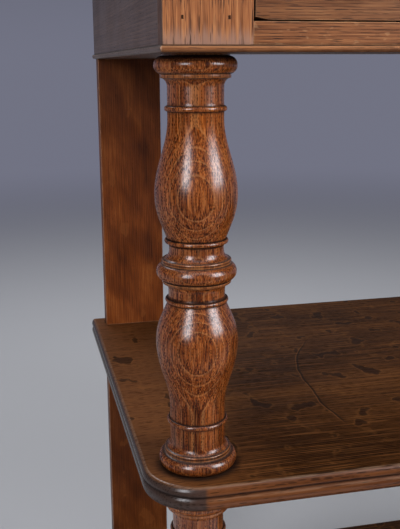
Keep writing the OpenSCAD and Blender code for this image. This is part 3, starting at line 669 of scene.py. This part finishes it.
def makeBoard(node, material, edge=boardEdge):
    low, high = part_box(node)
    outline = edgeOutline(edge, (high.z - low.z) / mm)
    r = edge["cornerRadius"] * mm
    section = [Vector((high.x + x * mm, high.y, high.z + z * mm)) for x, z in outline]
    piece = drawOutline(node + "_moulded", section)
    editMesh("SELECT")

    def pull(x, y):
        bpy.ops.mesh.extrude_region_move(TRANSFORM_OT_translate={"value": (x, y, 0)})

    def turnCorner(x):
        pivot = (x, low.y + r, 0)
        bpy.ops.mesh.spin(steps=edge["cornerSteps"], angle=math.pi / 2, center=pivot, axis=(0, 0, 1))

    pull(0, -(high.y - low.y - r))
    turnCorner(high.x - r)
    pull(-(high.x - low.x - 2 * r), 0)
    turnCorner(low.x + r)
    pull(0, high.y - low.y - r)
    leaveMesh()
    for wanted in (
        lambda p: abs(p.z - high.z) < hair,
        lambda p: abs(p.z - low.z) < hair,
        lambda p: abs(p.y - high.y) < hair,
    ):
        selectVertices(piece, wanted)
        bpy.ops.mesh.edge_face_add()
        leaveMesh()
    tidyMesh()
    smoothBelow(40)
    grooveZ = high.z - edge["upperReed"] * mm
    wear = boardWear
    drop, reach, amount = wear["lowArrisSheen"]

    def wearOf(p, face):
        if abs(face.normal.z) > wear["flat"] or face.normal.y > wear["flat"]:
            return 0.0, 0.0, 1.0
        # grime and painted shade, darkest in the groove between the reeds
        grimeAndShade = wear["fullGrimeAndShade"] - abs(p.z - grooveZ) / (wear["grimeAndShadeReach"] * mm)
        grimeAndShade = max(wear["leastGrimeAndShade"], grimeAndShade)
        # the top arris: rubbed lighter, with a painted sheen
        topArris = max(0.0, 1 - (high.z - p.z) / (wear["topArris"] * mm))
        # painted sheen: a pale line on the lower reed, below the groove
        lowArrisSheen = amount * max(0.0, 1 - abs(grooveZ - drop * mm - p.z) / (reach * mm))
        inward = min(p.x - low.x, high.x - p.x) / mm - wear["rubAndSheenFrom"]
        rubAndSheen = max(topArris, lowArrisSheen) * min(1.0, wear["cornerRubAndSheen"] + max(0.0, inward) / wear["rubAndSheenOver"])
        return min(1.0, grimeAndShade) * (1 - rubAndSheen), rubAndSheen, 0.0

    paintWear(piece, wearOf)
    settle(piece, "carcase", node, material)


# Turned columns: half an outline, from an end to the nose of the middle torus. Tori, fillets and the
# inner ring are radius and height, the outer ring is place, height and how far it stands past the neck
columnTurning = {
    "midTorus": (38.4, 17.0),
    "outerRing": (48.3, 5.0, 2.8),
    "innerRing": (30.4, 4.0),
    "ringSeat": 2.4,
    "ringCove": 4.0,
    "cove": 7.4,
    "midFillet": 33.2,
    "seatRadius": 31.0,
    "tenon": 11.0,
    "steps": 96,
    "arrisCut": 0.7,
    "arrisLean": (2.0, 0.6),
    "ringEase": (0.3, 1.5),
    "bellyPull": (28.0, 16.0),
    "bellyTuck": (5.0, 18.0),
    "lower": {
        "seat": 0.0, "torus": (39.0, 15.6), "fillet": (33.0, 3.8), "neck": 27.2, "vase": (62.0, 26.0),
        "belly": (39.8, 130.0), "ringOut": 28.0, "midFillet": 2.4, "midCove": 7.0,
    },
    "upper": {
        "seat": 1.8, "torus": (38.0, 16.4), "fillet": (32.4, 3.0), "neck": 26.0, "vase": (58.0, 24.0),
        "belly": (39.0, 127.5), "ringOut": 29.4, "midFillet": 3.4, "midCove": 9.0,
    },
}


def softCorner(before, corner, after, cut):
    toBefore = (Vector(before) - Vector(corner)).normalized() * cut
    toAfter = (Vector(after) - Vector(corner)).normalized() * cut
    c = Vector(corner)
    return [tuple(c + toBefore), tuple(c + (toBefore + toAfter) * 0.32), tuple(c + toAfter)]


def halfColumn(turning, half, mid):
    endR, endH = half["torus"]
    midR, midH = turning["midTorus"]
    ringIn, ringH, ringPast = turning["outerRing"]
    innerR, innerH = turning["innerRing"]
    cove = turning["cove"]
    midFilletR = turning["midFillet"]
    neck = half["neck"]
    filletR, filletH = half["fillet"]
    belly = half["belly"]
    vase, pull = half["vase"]
    seat = half["seat"]
    filletZ = seat + endH
    coveZ = filletZ + filletH
    inner = mid - half["ringOut"]
    midCove = half["midCove"]
    midCoveZ = mid - midH / 2 - half["midFillet"] - midCove
    ringR = neck + ringPast
    ringCove = turning["ringCove"]
    ringCoveR = innerR - innerH / 2
    cut = turning["arrisCut"]
    leanR, leanZ = turning["arrisLean"]
    easeR, easeZ = turning["ringEase"]
    below, above = turning["bellyPull"]
    tuckR, tuckZ = turning["bellyTuck"]
    midFilletZ = midCoveZ + midCove
    return withoutRepeats(
        ([(turning["seatRadius"], 0.0), (turning["seatRadius"], seat)] if seat else [])
        + arc((endR - endH / 2, seat + endH / 2), endH / 2, endH / 2, -90, 90, 24)
        + [(filletR, filletZ)]
        + softCorner((filletR, filletZ), (filletR, coveZ), (filletR - leanR, coveZ + leanZ), cut)
        + arc((filletR, coveZ + cove), filletR - neck, cove, 258, 180, 12)
        + [(neck, ringIn - ringH / 2 - easeZ), (neck + easeR, ringIn - ringH / 2)]
        + arc((ringR - ringH / 2, ringIn), ringH / 2, ringH / 2, -85, 85, 12)
        + [(neck + easeR, ringIn + ringH / 2), (neck, ringIn + ringH / 2 + easeZ)]
        + bezier((neck, vase), (neck, vase + pull), (belly[0], belly[1] - below), belly, 30)
        + bezier(
            belly, (belly[0], belly[1] + above),
            (belly[0] - tuckR, inner - tuckZ), (innerR - turning["ringSeat"], inner - innerH / 2), 24,
        )
        + arc((ringCoveR, inner), innerH / 2, innerH / 2, -85, 85, 12)
        + arc((ringCoveR, inner + innerH / 2 + ringCove), ringCoveR - neck, ringCove, 265, 180, 8)
        + arc((midFilletR, midCoveZ), midFilletR - neck, midCove, 180, 102, 12)
        + softCorner(
            (midFilletR - leanR, midFilletZ - leanZ), (midFilletR, midFilletZ),
            (midFilletR, mid - midH / 2), cut,
        )
        + [(midFilletR, mid - midH / 2)]
        + arc((midR - midH / 2, mid), midH / 2, midH / 2, -88, 0, 14)
    )


def columnOutline(turning, height, below, above):
    lower = halfColumn(turning, turning["lower"], height / 2)
    upper = upsideDown(halfColumn(turning, turning["upper"], height / 2), height)
    tenon = turning["tenon"]
    return withoutRepeats(
        [(0.0, -below), (tenon, -below), (tenon, 0.0)] + lower + upper
        + [(tenon, height), (tenon, height + above), (0.0, height + above)]
    )


# Bands of a column darkened with grime and painted shade (under the tori and rings, and under the frieze at
# the head), on the faces of the fillets, in the hollows and at both ends:
# from, to, amount
def columnSoilAndShade(turning, height):
    mid = height / 2
    midH = turning["midTorus"][1]
    base, head = turning["lower"], turning["upper"]
    baseFillet = base["torus"][1]
    headTorus = height - head["seat"]
    return (
        (-9.0, 2.6, 0.9),
        (baseFillet - 1.6, baseFillet + base["fillet"][1] - 0.9, 0.8),
        (mid + midH / 2 - 1.0, mid + midH / 2 + head["midFillet"] - 0.9, 0.8),
        (mid - midH / 2 - 2.2, mid - midH / 2 + 2.4, 0.85),
        (mid - base["ringOut"] + 1.6, mid - base["ringOut"] + 4.4, 0.7),
        (mid + head["ringOut"] - 4.4, mid + head["ringOut"] - 1.6, 0.7),
        (headTorus - 5.4, headTorus - 3.0, 0.55),
        (headTorus - 3.0, height + 9.0, 1.0),
    )


# Bands of a column that have lost their polish: full, none, amount. The head's is measured downwards
columnDull = {
    "head": ((51.0, 94.0, 1.0),),
    "foot": ((51.0, 150.0, 0.75), (45.0, 18.0, 0.75)),
}


def turnPiece(name, outline, centre, steps, soiledAndShaded=(), dulled=()):
    outline = finely(outline, soiledAndShaded)
    points = [centre + Vector((r, 0, z)) * mm for r, z in outline]
    piece = drawOutline(name, points)
    leaveMesh()
    layer = piece.data.attributes.new("wear", "FLOAT_COLOR", "POINT")
    wear = outlineWear(outline, soiledAndShaded, dulled)
    for vertex in piece.data.vertices:
        nearest = min(range(len(points)), key=lambda i: (points[i] - vertex.co).length_squared)
        layer.data[vertex.index].color = (*wear[nearest], 1)
    editMesh("SELECT")
    bpy.ops.mesh.spin(steps=steps, angle=math.tau, center=centre, axis=(0, 0, 1))
    tidyMesh()
    smoothBelow(50)
    return piece


def settleCopy(piece, node, material):
    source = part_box(piece.name.removesuffix("_turned"))
    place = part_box(node)
    only(piece)
    bpy.ops.object.duplicate()
    twin = bpy.context.object
    twin.name = node + "_turned"
    editMesh("SELECT")
    bpy.ops.transform.translate(value=place[0] - source[0])
    leaveMesh()
    settle(twin, "carcase", node, material)


def makeColumn(node, material):
    low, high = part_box(node)
    upper = node.startswith("upper")
    foot = shelfHigh.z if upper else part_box("lower_shelf")[1].z
    top = friezeUnder if upper else shelfLow.z
    below = (foot - low.z) / mm
    above = max(0.0, (high.z - top) / mm)
    height = (top - foot) / mm
    outline = columnOutline(columnTurning, height, below, above)
    centre = standAt(node, foot)
    soiledAndShaded = columnSoilAndShade(columnTurning, height)
    dulled = tuple((height - full, height - none, amount) for full, none, amount in columnDull["head"])
    dulled += columnDull["foot"]
    piece = turnPiece(node + "_turned", outline, centre, columnTurning["steps"], soiledAndShaded, dulled)
    settle(piece, "carcase", node, material)
    return piece


# Turned feet
footTurning = {
    "pad": (24.0, 4.0),
    "ankle": (18.0, 9.0),
    "bulb": 37.5,
    "bulbRise": 0.5,
    "neck": 25.0,
    "neckDrop": 3.0,
    "endTorus": (39.0, 15.6),
    "tenon": 11.0,
    "anklePull": (4.0, 16.0),
    "bulbPull": (20.0, 12.0),
    "neckPull": (6.0, 5.0),
    "steps": 72,
}


def makeFoot(node, material):
    low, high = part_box(node)
    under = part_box("lower_shelf")[0].z
    height = (under - low.z) / mm
    above = max(0.0, (high.z - under) / mm)
    t = footTurning
    padR, padH = t["pad"]
    endR, endH = t["endTorus"]
    ankle = t["ankle"]
    bulb = (t["bulb"], height * t["bulbRise"])
    neck = (t["neck"], height - endH - t["neckDrop"])
    ankleR, ankleZ = t["anklePull"]
    bulbBelow, bulbAbove = t["bulbPull"]
    neckR, neckZ = t["neckPull"]
    top = [(0.0, height + above)]
    if above:
        top = [(t["tenon"], height), (t["tenon"], height + above)] + top
    outline = withoutRepeats(
        [(0.0, 0.0)]
        + arc((padR - padH, padH), padH, padH, -90, 90, 14)
        + bezier(ankle, (ankle[0] + ankleR, ankle[1] + ankleZ), (bulb[0], bulb[1] - bulbBelow), bulb, 18)
        + bezier(bulb, (bulb[0], bulb[1] + bulbAbove), (neck[0] + neckR, neck[1] - neckZ), neck, 14)
        + [(neck[0], height - endH)]
        + arc((endR - endH / 2, height - endH / 2), endH / 2, endH / 2, -88, 90, 20)
        + top
    )
    centre = standAt(node, low.z)
    piece = turnPiece(node + "_turned", outline, centre, t["steps"])
    settle(piece, "carcase", node, material)
    return piece


# Turned drawer knobs, two to a drawer. The shares are of the radius and of the reach
knobTurning = {
    "radius": 17.0,
    "out": 28.0,
    "spigot": 6.0,
    "bead": 1.5,
    "rim": 4.0,
    "footShare": 0.64,
    "rimShare": 0.66,
    "steps": 64,
}


def knobOutline(t, spigotIn):
    r, out, rim = t["radius"], t["out"], t["rim"]
    foot, rimZ = r * t["footShare"], out * t["rimShare"]
    return withoutRepeats(
        [(0.0, -spigotIn), (t["spigot"], -spigotIn), (t["spigot"], 0.0), (foot, 0.0)]
        + arc((foot, t["bead"]), t["bead"], t["bead"], -90, 90, 10)
        + bezier((r * 0.47, 4), (r * 0.42, 9), (r * 0.55, rimZ - 1.8 * rim), (r * 0.86, rimZ - rim), 16)
        + arc((r - rim, rimZ), rim, rim, -40, 40, 10)
        + bezier((r * 0.8, rimZ + rim), (r * 0.62, out - 1.5), (r * 0.3, out), (0.0, out), 16)
    )


def makeKnobs(node, body, material):
    low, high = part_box(node)
    t = knobTurning
    r = t["radius"] * mm
    centre = Vector((low.x + r, low.y + t["out"] * mm, (low.z + high.z) / 2))
    outline = knobOutline(t, (high.y - centre.y) / mm)
    piece = turnPiece(node + "_turned", outline, centre, t["steps"])
    editMesh("SELECT")
    bpy.ops.transform.rotate(value=-math.pi / 2, orient_axis="X", center_override=centre)
    bpy.ops.mesh.duplicate_move(TRANSFORM_OT_translate={"value": (high.x - low.x - 2 * r, 0, 0)})
    leaveMesh()
    settle(piece, body, node, material)


# Flat pieces keep the joiner's shape of their solids, with eased edges
def copyNode(node):
    source = frame["nodes"][node]
    piece = source.copy()
    piece.data = source.data.copy()
    piece.name = node + "_eased"
    piece.parent = None
    for key in list(piece.keys()):
        del piece[key]
    bpy.context.scene.collection.objects.link(piece)
    only(piece)
    while piece.data.color_attributes:
        piece.data.color_attributes.remove(piece.data.color_attributes[0])
    editMesh("SELECT")
    bpy.ops.mesh.remove_doubles(threshold=mergeDistance)
    bpy.ops.mesh.dissolve_limited(angle_limit=math.radians(1))
    leaveMesh()
    return piece, source.parent.name.split(":")[1]


# Lower front corners worn away: how far along the edge, how far in and how high at the corner
wornCorners = {"left_drawer_front": (13.0, 0.6, 2.4)}


def wearCorner(piece, corner, along, inward, rise):
    editMesh("SELECT")
    bpy.ops.mesh.bisect(plane_co=corner + Vector((along, 0, 0)) * mm, plane_no=(1, 0, 0))
    leaveMesh()
    selectVertices(piece, lambda p: (p - corner).length < mergeDistance)
    bpy.ops.transform.translate(value=(inward * mm, 0, rise * mm))
    leaveMesh()


# Wear and painted shade of the eased pieces, in millimetres: an edge's reach is in widths of its bevel, and
# the top of a bead board, darkened with painted shade where it meets the face above, has its height and
# amount
easedWear = {
    "flat": 0.9999,
    "edge": 2.5,
    "beadTopShade": (1.1, 0.9),
    "largeFace": 100.0,
}


def easeNode(node, material, width=0.7):
    piece, body = copyNode(node)
    if node in wornCorners:
        wearCorner(piece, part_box(node)[0], *wornCorners[node])
    bevel = piece.modifiers.new("ease", "BEVEL")
    bevel.width = width * mm
    bevel.segments = 2
    bevel.limit_method = "ANGLE"
    bevel.angle_limit = math.radians(40)
    bevel.use_clamp_overlap = False
    bpy.ops.object.modifier_apply(modifier=bevel.name)
    smoothBelow(50)
    for face in piece.data.polygons:
        if face.area > easedWear["largeFace"] * mm * mm:
            face.use_smooth = False
    low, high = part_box(node)
    beadTopShade, amount = easedWear["beadTopShade"]
    reach = easedWear["edge"] * width * mm

    def wearOf(p, face):
        if max(abs(c) for c in face.normal) > easedWear["flat"]:
            return 0.0, 0.0, 0.0
        # painted shade along the top of a bead board, where it meets the face above
        if node.endswith("bead") and p.z > high.z - beadTopShade * mm:
            return amount, 0.0, 0.0
        atEdge = sum(min(p[k] - low[k], high[k] - p[k]) < reach for k in range(3))
        return (0.0, 1.0, 0.0) if atEdge > 1 else (1.0, 0.0, 0.0)

    paintWear(piece, wearOf)
    settle(piece, body, node, material)


# Screws: the solids' heads are slotted, each at its own turn. The length and the spread are in head radii
screwSlot = {
    "width": 0.9,
    "depth": 1.3,
    "length": 2.4,
    "spread": 4.0,
    "flat": 0.05,
    "firstTurn": 0.4,
    "nextTurn": 1.1,
}


def slotScrews(node, material, axis, side, headR):
    piece, body = copyNode(node)
    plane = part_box(node)[side][axis]
    spread = screwSlot["spread"] * headR * mm
    heads = []
    for vertex in piece.data.vertices:
        if abs(vertex.co[axis] - plane) < screwSlot["flat"] * mm:
            near = [head for head in heads if (head[0] - vertex.co).length < spread]
            if near:
                near[0].append(vertex.co.copy())
            else:
                heads.append([vertex.co.copy()])
    size = Vector((headR * screwSlot["length"], screwSlot["width"], screwSlot["width"]))
    size[axis] = screwSlot["depth"] * 2
    cutters = []
    for index, head in enumerate(heads):
        centre = sum(head, Vector()) / len(head)
        turns = [0.0, 0.0, 0.0]
        turns[axis] = screwSlot["firstTurn"] + screwSlot["nextTurn"] * index
        bpy.ops.mesh.primitive_cube_add(size=1, location=centre, rotation=turns)
        bpy.context.object.scale = size * mm
        cutters.append(bpy.context.object)
    for cutter in cutters:
        cutter.select_set(True)
    bpy.ops.object.join()
    cutter = bpy.context.object
    only(piece)
    cut = piece.modifiers.new("slots", "BOOLEAN")
    cut.operation = "DIFFERENCE"
    cut.object = cutter
    bpy.ops.object.modifier_apply(modifier=cut.name)
    bpy.data.objects.remove(cutter)
    smoothBelow(30)
    settle(piece, body, node, material)
    return len(heads)


# Studio: two tall soft boxes before the piece, a wide faint one above, a high one behind
studio = {
    "lamps": {
        "leftBox": {"turn": -41, "apart": 3.2, "height": 1.85, "size": (1.10, 2.50), "radiance": 10.0},
        "rightBox": {"turn": 52, "apart": 3.2, "height": 1.85, "size": (1.70, 2.50), "radiance": 9.5},
        "overhead": {"turn": 0, "apart": 0.5, "height": 2.4, "size": (2.6, 2.6), "radiance": 0.9},
        "backHigh": {"turn": 180, "apart": 2.4, "height": 3.0, "size": (2.6, 1.6), "radiance": 4.5},
    },
    "lampTone": (0.93, 0.95, 1.0),
    "horizonTone": (0.165, 0.170, 0.225),
    "heightTone": (0.035, 0.035, 0.042),
    "frontTone": (0.030, 0.030, 0.034),
    "floorTone": (0.58, 0.58, 0.59),
    "floorRadius": 60.0,
    "floorTurn": (-1.5, 0.5),
    "frontFade": (0.8, 1.7),
    "backFade": (1.2, 7.0),
    "worldRise": (0.0, 0.40),
    "worldTurn": (-0.35, 0.25),
}


def placeLamp(name, spec):
    turn = math.radians(spec["turn"])
    place = columnFoot + Vector((math.sin(turn), -math.cos(turn), 0)) * spec["apart"]
    place.z += spec["height"]
    bpy.ops.object.light_add(type="AREA", location=place)
    lamp = bpy.context.object
    lamp.name = name
    lamp.data.shape = "RECTANGLE"
    lamp.data.size, lamp.data.size_y = spec["size"]
    lamp.data.color = studio["lampTone"]
    lamp.data.energy = spec["radiance"] * math.pi * spec["size"][0] * spec["size"][1]
    aim = columnFoot.copy()
    if name.endswith("Box"):
        aim.z = place.z
    lamp.rotation_mode = "QUATERNION"
    lamp.rotation_quaternion = (aim - place).to_track_quat("-Z", "Y")
    lamp.visible_camera = False


def makeStudio():
    for name, spec in studio["lamps"].items():
        placeLamp(name, spec)
    letGo()
    bpy.ops.mesh.primitive_circle_add(vertices=128, radius=studio["floorRadius"], fill_type="NGON")
    floor = bpy.context.object
    floor.name = "floor"
    g = Graph(bpy.data.materials.new("floorPaper"))
    place = g.node("ShaderNodeTexCoord", None, None, "Object")
    soft = g.noise(g.node("ShaderNodeMapping", None, {"Vector": place, "Scale": (2, 2, 2)}), 3.0)
    tone = studio["floorTone"]
    colour = g.mix(soft, tone, tuple(c * 0.96 for c in tone))
    paper = g.node("ShaderNodeBsdfPrincipled", None, {
        "Base Color": colour, "Roughness": 0.9, "Specular IOR Level": 0.1,
    })
    behind = g.smooth(g.split(place)[1], *studio["floorTurn"])
    hazeTone = g.mix(behind, studio["frontTone"], studio["horizonTone"])
    haze = g.node("ShaderNodeEmission", None, {"Color": hazeTone})
    away = g.node("ShaderNodeVectorMath", {"operation": "LENGTH"}, {0: place}, "Value")
    rays = g.node("ShaderNodeLightPath", None, None, "Is Camera Ray")
    kinds = rays.socket.node.outputs
    seen = rays + Wire(g, kinds["Is Glossy Ray"]) + Wire(g, kinds["Is Transmission Ray"])
    seen = g.maths("MINIMUM", seen, 1.0)
    far = g.smooth(away, *studio["backFade"]) * behind
    far = far + g.smooth(away, *studio["frontFade"]) * (1.0 - behind)
    blend = g.node("ShaderNodeMixShader", None, {0: far * seen, 1: paper, 2: haze})
    dress(floor, g.finish(blend))

    world = bpy.data.worlds.new("studioWorld")
    bpy.context.scene.world = world
    g = Graph(world)
    toBack, upward = g.split(g.node("ShaderNodeTexCoord", None, None, "Generated"))[1:]
    tone = g.mix(g.smooth(upward, *studio["worldRise"]), studio["horizonTone"], studio["heightTone"])
    tone = g.mix(g.smooth(toBack, *studio["worldTurn"]), studio["frontTone"], tone)
    g.finish(g.node("ShaderNodeBackground", None, {"Color": tone}), "ShaderNodeOutputWorld")


placeCamera(cameraPlace)
makeStudio()
bpy.context.scene.view_settings.view_transform = "Standard"
print("camera and studio placed")

# The middle shelf's scratch, in metres: part of a wandering circle, with a pale lip outside the cut
shelfScratch = {
    "centre": (columnAxis.x + 0.547, columnAxis.y + 0.120),
    "radius": 0.373,
    "span": (columnAxis.y + 0.045, columnAxis.y + 0.34),
    "fadeIn": 0.02,
    "fadeOut": 0.06,
    "wander": 0.030,
    "cut": (0.0007, 0.0018),
    "cutShare": 0.9,
    "lip": (0.0004, 0.0014),
    "lipShare": 0.5,
    "lipOut": 0.0018,
}
boards = {
    "top_board": oak("oakTopBoard", **{
        **boardLook, "shift": (0.3, 0.11, -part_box("top_board")[1].z), "dirtAndShadeRings": (), "veils": (),
    }),
    "middle_shelf": oak("oakMiddleShelf", **{
        **boardLook, "shift": (0.0, 0.0, -shelfHigh.z), "scratch": shelfScratch,
    }),
    "lower_shelf": oak("oakLowerShelf", **{
        **boardLook, "shift": (0.7, 0.09, -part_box("lower_shelf")[1].z),
    }),
}
for node, material in boards.items():
    makeBoard(node, material)
print("boards moulded")


def turnedOak(name, node, pith, lift):
    centre = standAt(node, 0)
    return oak(name, **{**turnedLook, "pith": pith, "shift": (-centre.x, -centre.y, lift)})


for tier, pith, lift in (("upper", (0.022, 0.100), 0.0), ("lower", (0.060, 0.085), 0.37)):
    leftNode, rightNode = tier + "_left_column", tier + "_right_column"
    left = makeColumn(leftNode, turnedOak("oak" + tier.title() + "Left", leftNode, pith, lift))
    rightOak = turnedOak("oak" + tier.title() + "Right", rightNode, (-pith[0], pith[1]), lift + 0.19)
    settleCopy(left, rightNode, rightOak)
print("columns turned")

footOak = turnedOak("oakFeet", "front_left_foot", (0.05, 0.06), 0.7)
foot = makeFoot("front_left_foot", footOak)
for node in ("front_right_foot", "rear_left_foot", "rear_right_foot"):
    settleCopy(foot, node, footOak)
print("feet turned")

knobOak = oak("oakKnobs", **{
    **turnedLook, "axes": "yxz", "pith": (0.03, 0.02), "endShare": 0.55, "endColour": (0.075, 0.022, 0.007),
    "shift": (0.4, 0.2, 0.1),
})
for side in ("left", "right"):
    makeKnobs(side + "_drawer_knobs", side + "_drawer", knobOak)
print("knobs turned")

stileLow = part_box("left_front_stile")[0]
stileMiddle = standAt("left_front_stile", 0)
beadLow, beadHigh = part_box("front_bead")
beadShades = ((0.08, (0.060, 0.016, 0.005)), (0.40, (0.185, 0.058, 0.017)), (0.62, (0.28, 0.098, 0.029)),
              (0.92, (0.45, 0.185, 0.065)))
faceOaks = {
    "stile": oak("oakStile", **{
        **stileLook, "shift": (-stileMiddle.x, -stileMiddle.y, 0.0),
        "veils": (
            ("z", friezeUnder + 0.024, friezeUnder + 0.008, 0.75, 34.0, (0.30, 0.17, 0.12)),
            # painted shade: a thin dark strip along each stile's outer edge
            ("x", stileLow.x + 0.0009, stileLow.x + 0.0003, 0.85, 0.0, (0.070, 0.040, 0.032)),
            ("x", -stileLow.x - 0.0009, -stileLow.x - 0.0003, 0.85, 0.0, (0.070, 0.040, 0.032)),
        ),
    }),
    "middleStile": oak("oakMiddleStile", **stileLook),
    "rail": oak("oakRail", **railLook),
    "side": oak("oakSide", **{**sideLook, "axes": "yzx"}),
    "drawer": oak("oakDrawer", **{**drawerLook, "axes": "xzy", "shift": (0.2, 0.3, 0.17)}),
    "bead": oak("oakBead", **{
        **drawerLook, "axes": "xzy", "shift": (0.5, 0.1, 0.37), "streaks": 2.6, "shades": beadShades,
        "rubAndSheen": (0.34, 0.14, 0.05), "rubAndSheenAmount": 0.3,
        "veils": (
            # painted shade along the bead's lower edge
            ("z", friezeUnder + 0.0026, friezeUnder + 0.0004, 0.8, 0.6, (0.050, 0.014, 0.005)),
            # painted highlight along the bead's rounded upper arris
            ("z", beadHigh.z - 0.0030, beadHigh.z - 0.0018, 0.22, 0.8, (0.55, 0.28, 0.13)),
            ("x", beadLow.x + 0.0026, beadLow.x + 0.0008, 0.5, 2.0, (0.60, 0.44, 0.32)),
        ),
    }),
    "sideBead": oak("oakSideBead", **{**sideLook, "axes": "yzx", "shift": (0.5, 0.1, 0.37)}),
}
faceNodes = {
    "left_end_panel": "side", "right_end_panel": "side", "left_front_stile": "stile",
    "right_front_stile": "stile", "centre_stile": "middleStile", "top_rail": "rail", "bottom_rail": "rail",
    "left_drawer_front": "drawer", "right_drawer_front": "drawer",
    "front_bead": "bead", "left_bead": "sideBead", "right_bead": "sideBead",
}
easeWidths = {"bead": 0.9, "sideBead": 0.9, "stile": 0.3}
for node, look in faceNodes.items():
    easeNode(node, faceOaks[look], easeWidths.get(look, 0.7))
# painted shade: the rear boards darker towards the top, in the frieze's shadow, and darker below the middle
# shelf
rearShade = ("z", friezeUnder - 0.22, friezeUnder + 0.02, 0.5, 20.0, (0.010, 0.006, 0.005))
underShade = ("z", shelfLow.z + 0.01, shelfLow.z - 0.02, 0.45, 20.0, (0.025, 0.007, 0.002))
rearOak = oak("oakRearBoard", **{**rearLook, "veils": (rearShade, underShade)})
for node in frame["nodes"]:
    if node.endswith("rear_board"):
        easeNode(node, rearOak, 0.9)
print("flat faces eased")

lining = {
    axis: oak("oakLining" + axis, **{**liningLook, "axes": axis})
    for axis in ("xzy", "yzx", "xyz")
}
steel = metal("screwSteel", (0.09, 0.05, 0.03), (0.24, 0.22, 0.20), 0.9)
iron = metal("nailIron", (0.010, 0.007, 0.006), (0.030, 0.022, 0.018), 0.4)
# Screws: the axis their heads face along, the end of the box they lie at, and the heads' radius
screwSets = {
    "top_screws": (2, 0, 4.2), "back_screws": (1, 1, 4.2),
    "left_drawer_screws": (2, 0, 3.0), "right_drawer_screws": (2, 0, 3.0),
}
for node, facing in screwSets.items():
    print(node, "slotted:", slotScrews(node, steel, *facing))
for node, solid in frame["nodes"].items():
    if solid.hide_render:
        continue
    if "nails" in node:
        dress(solid, iron)
    elif any(word in node for word in ("side", "runner", "guide", "kicker", "bearer")):
        dress(solid, lining["yzx"])
    elif "bottom" in node:
        dress(solid, lining["xyz"])
    else:
        dress(solid, lining["xzy"])
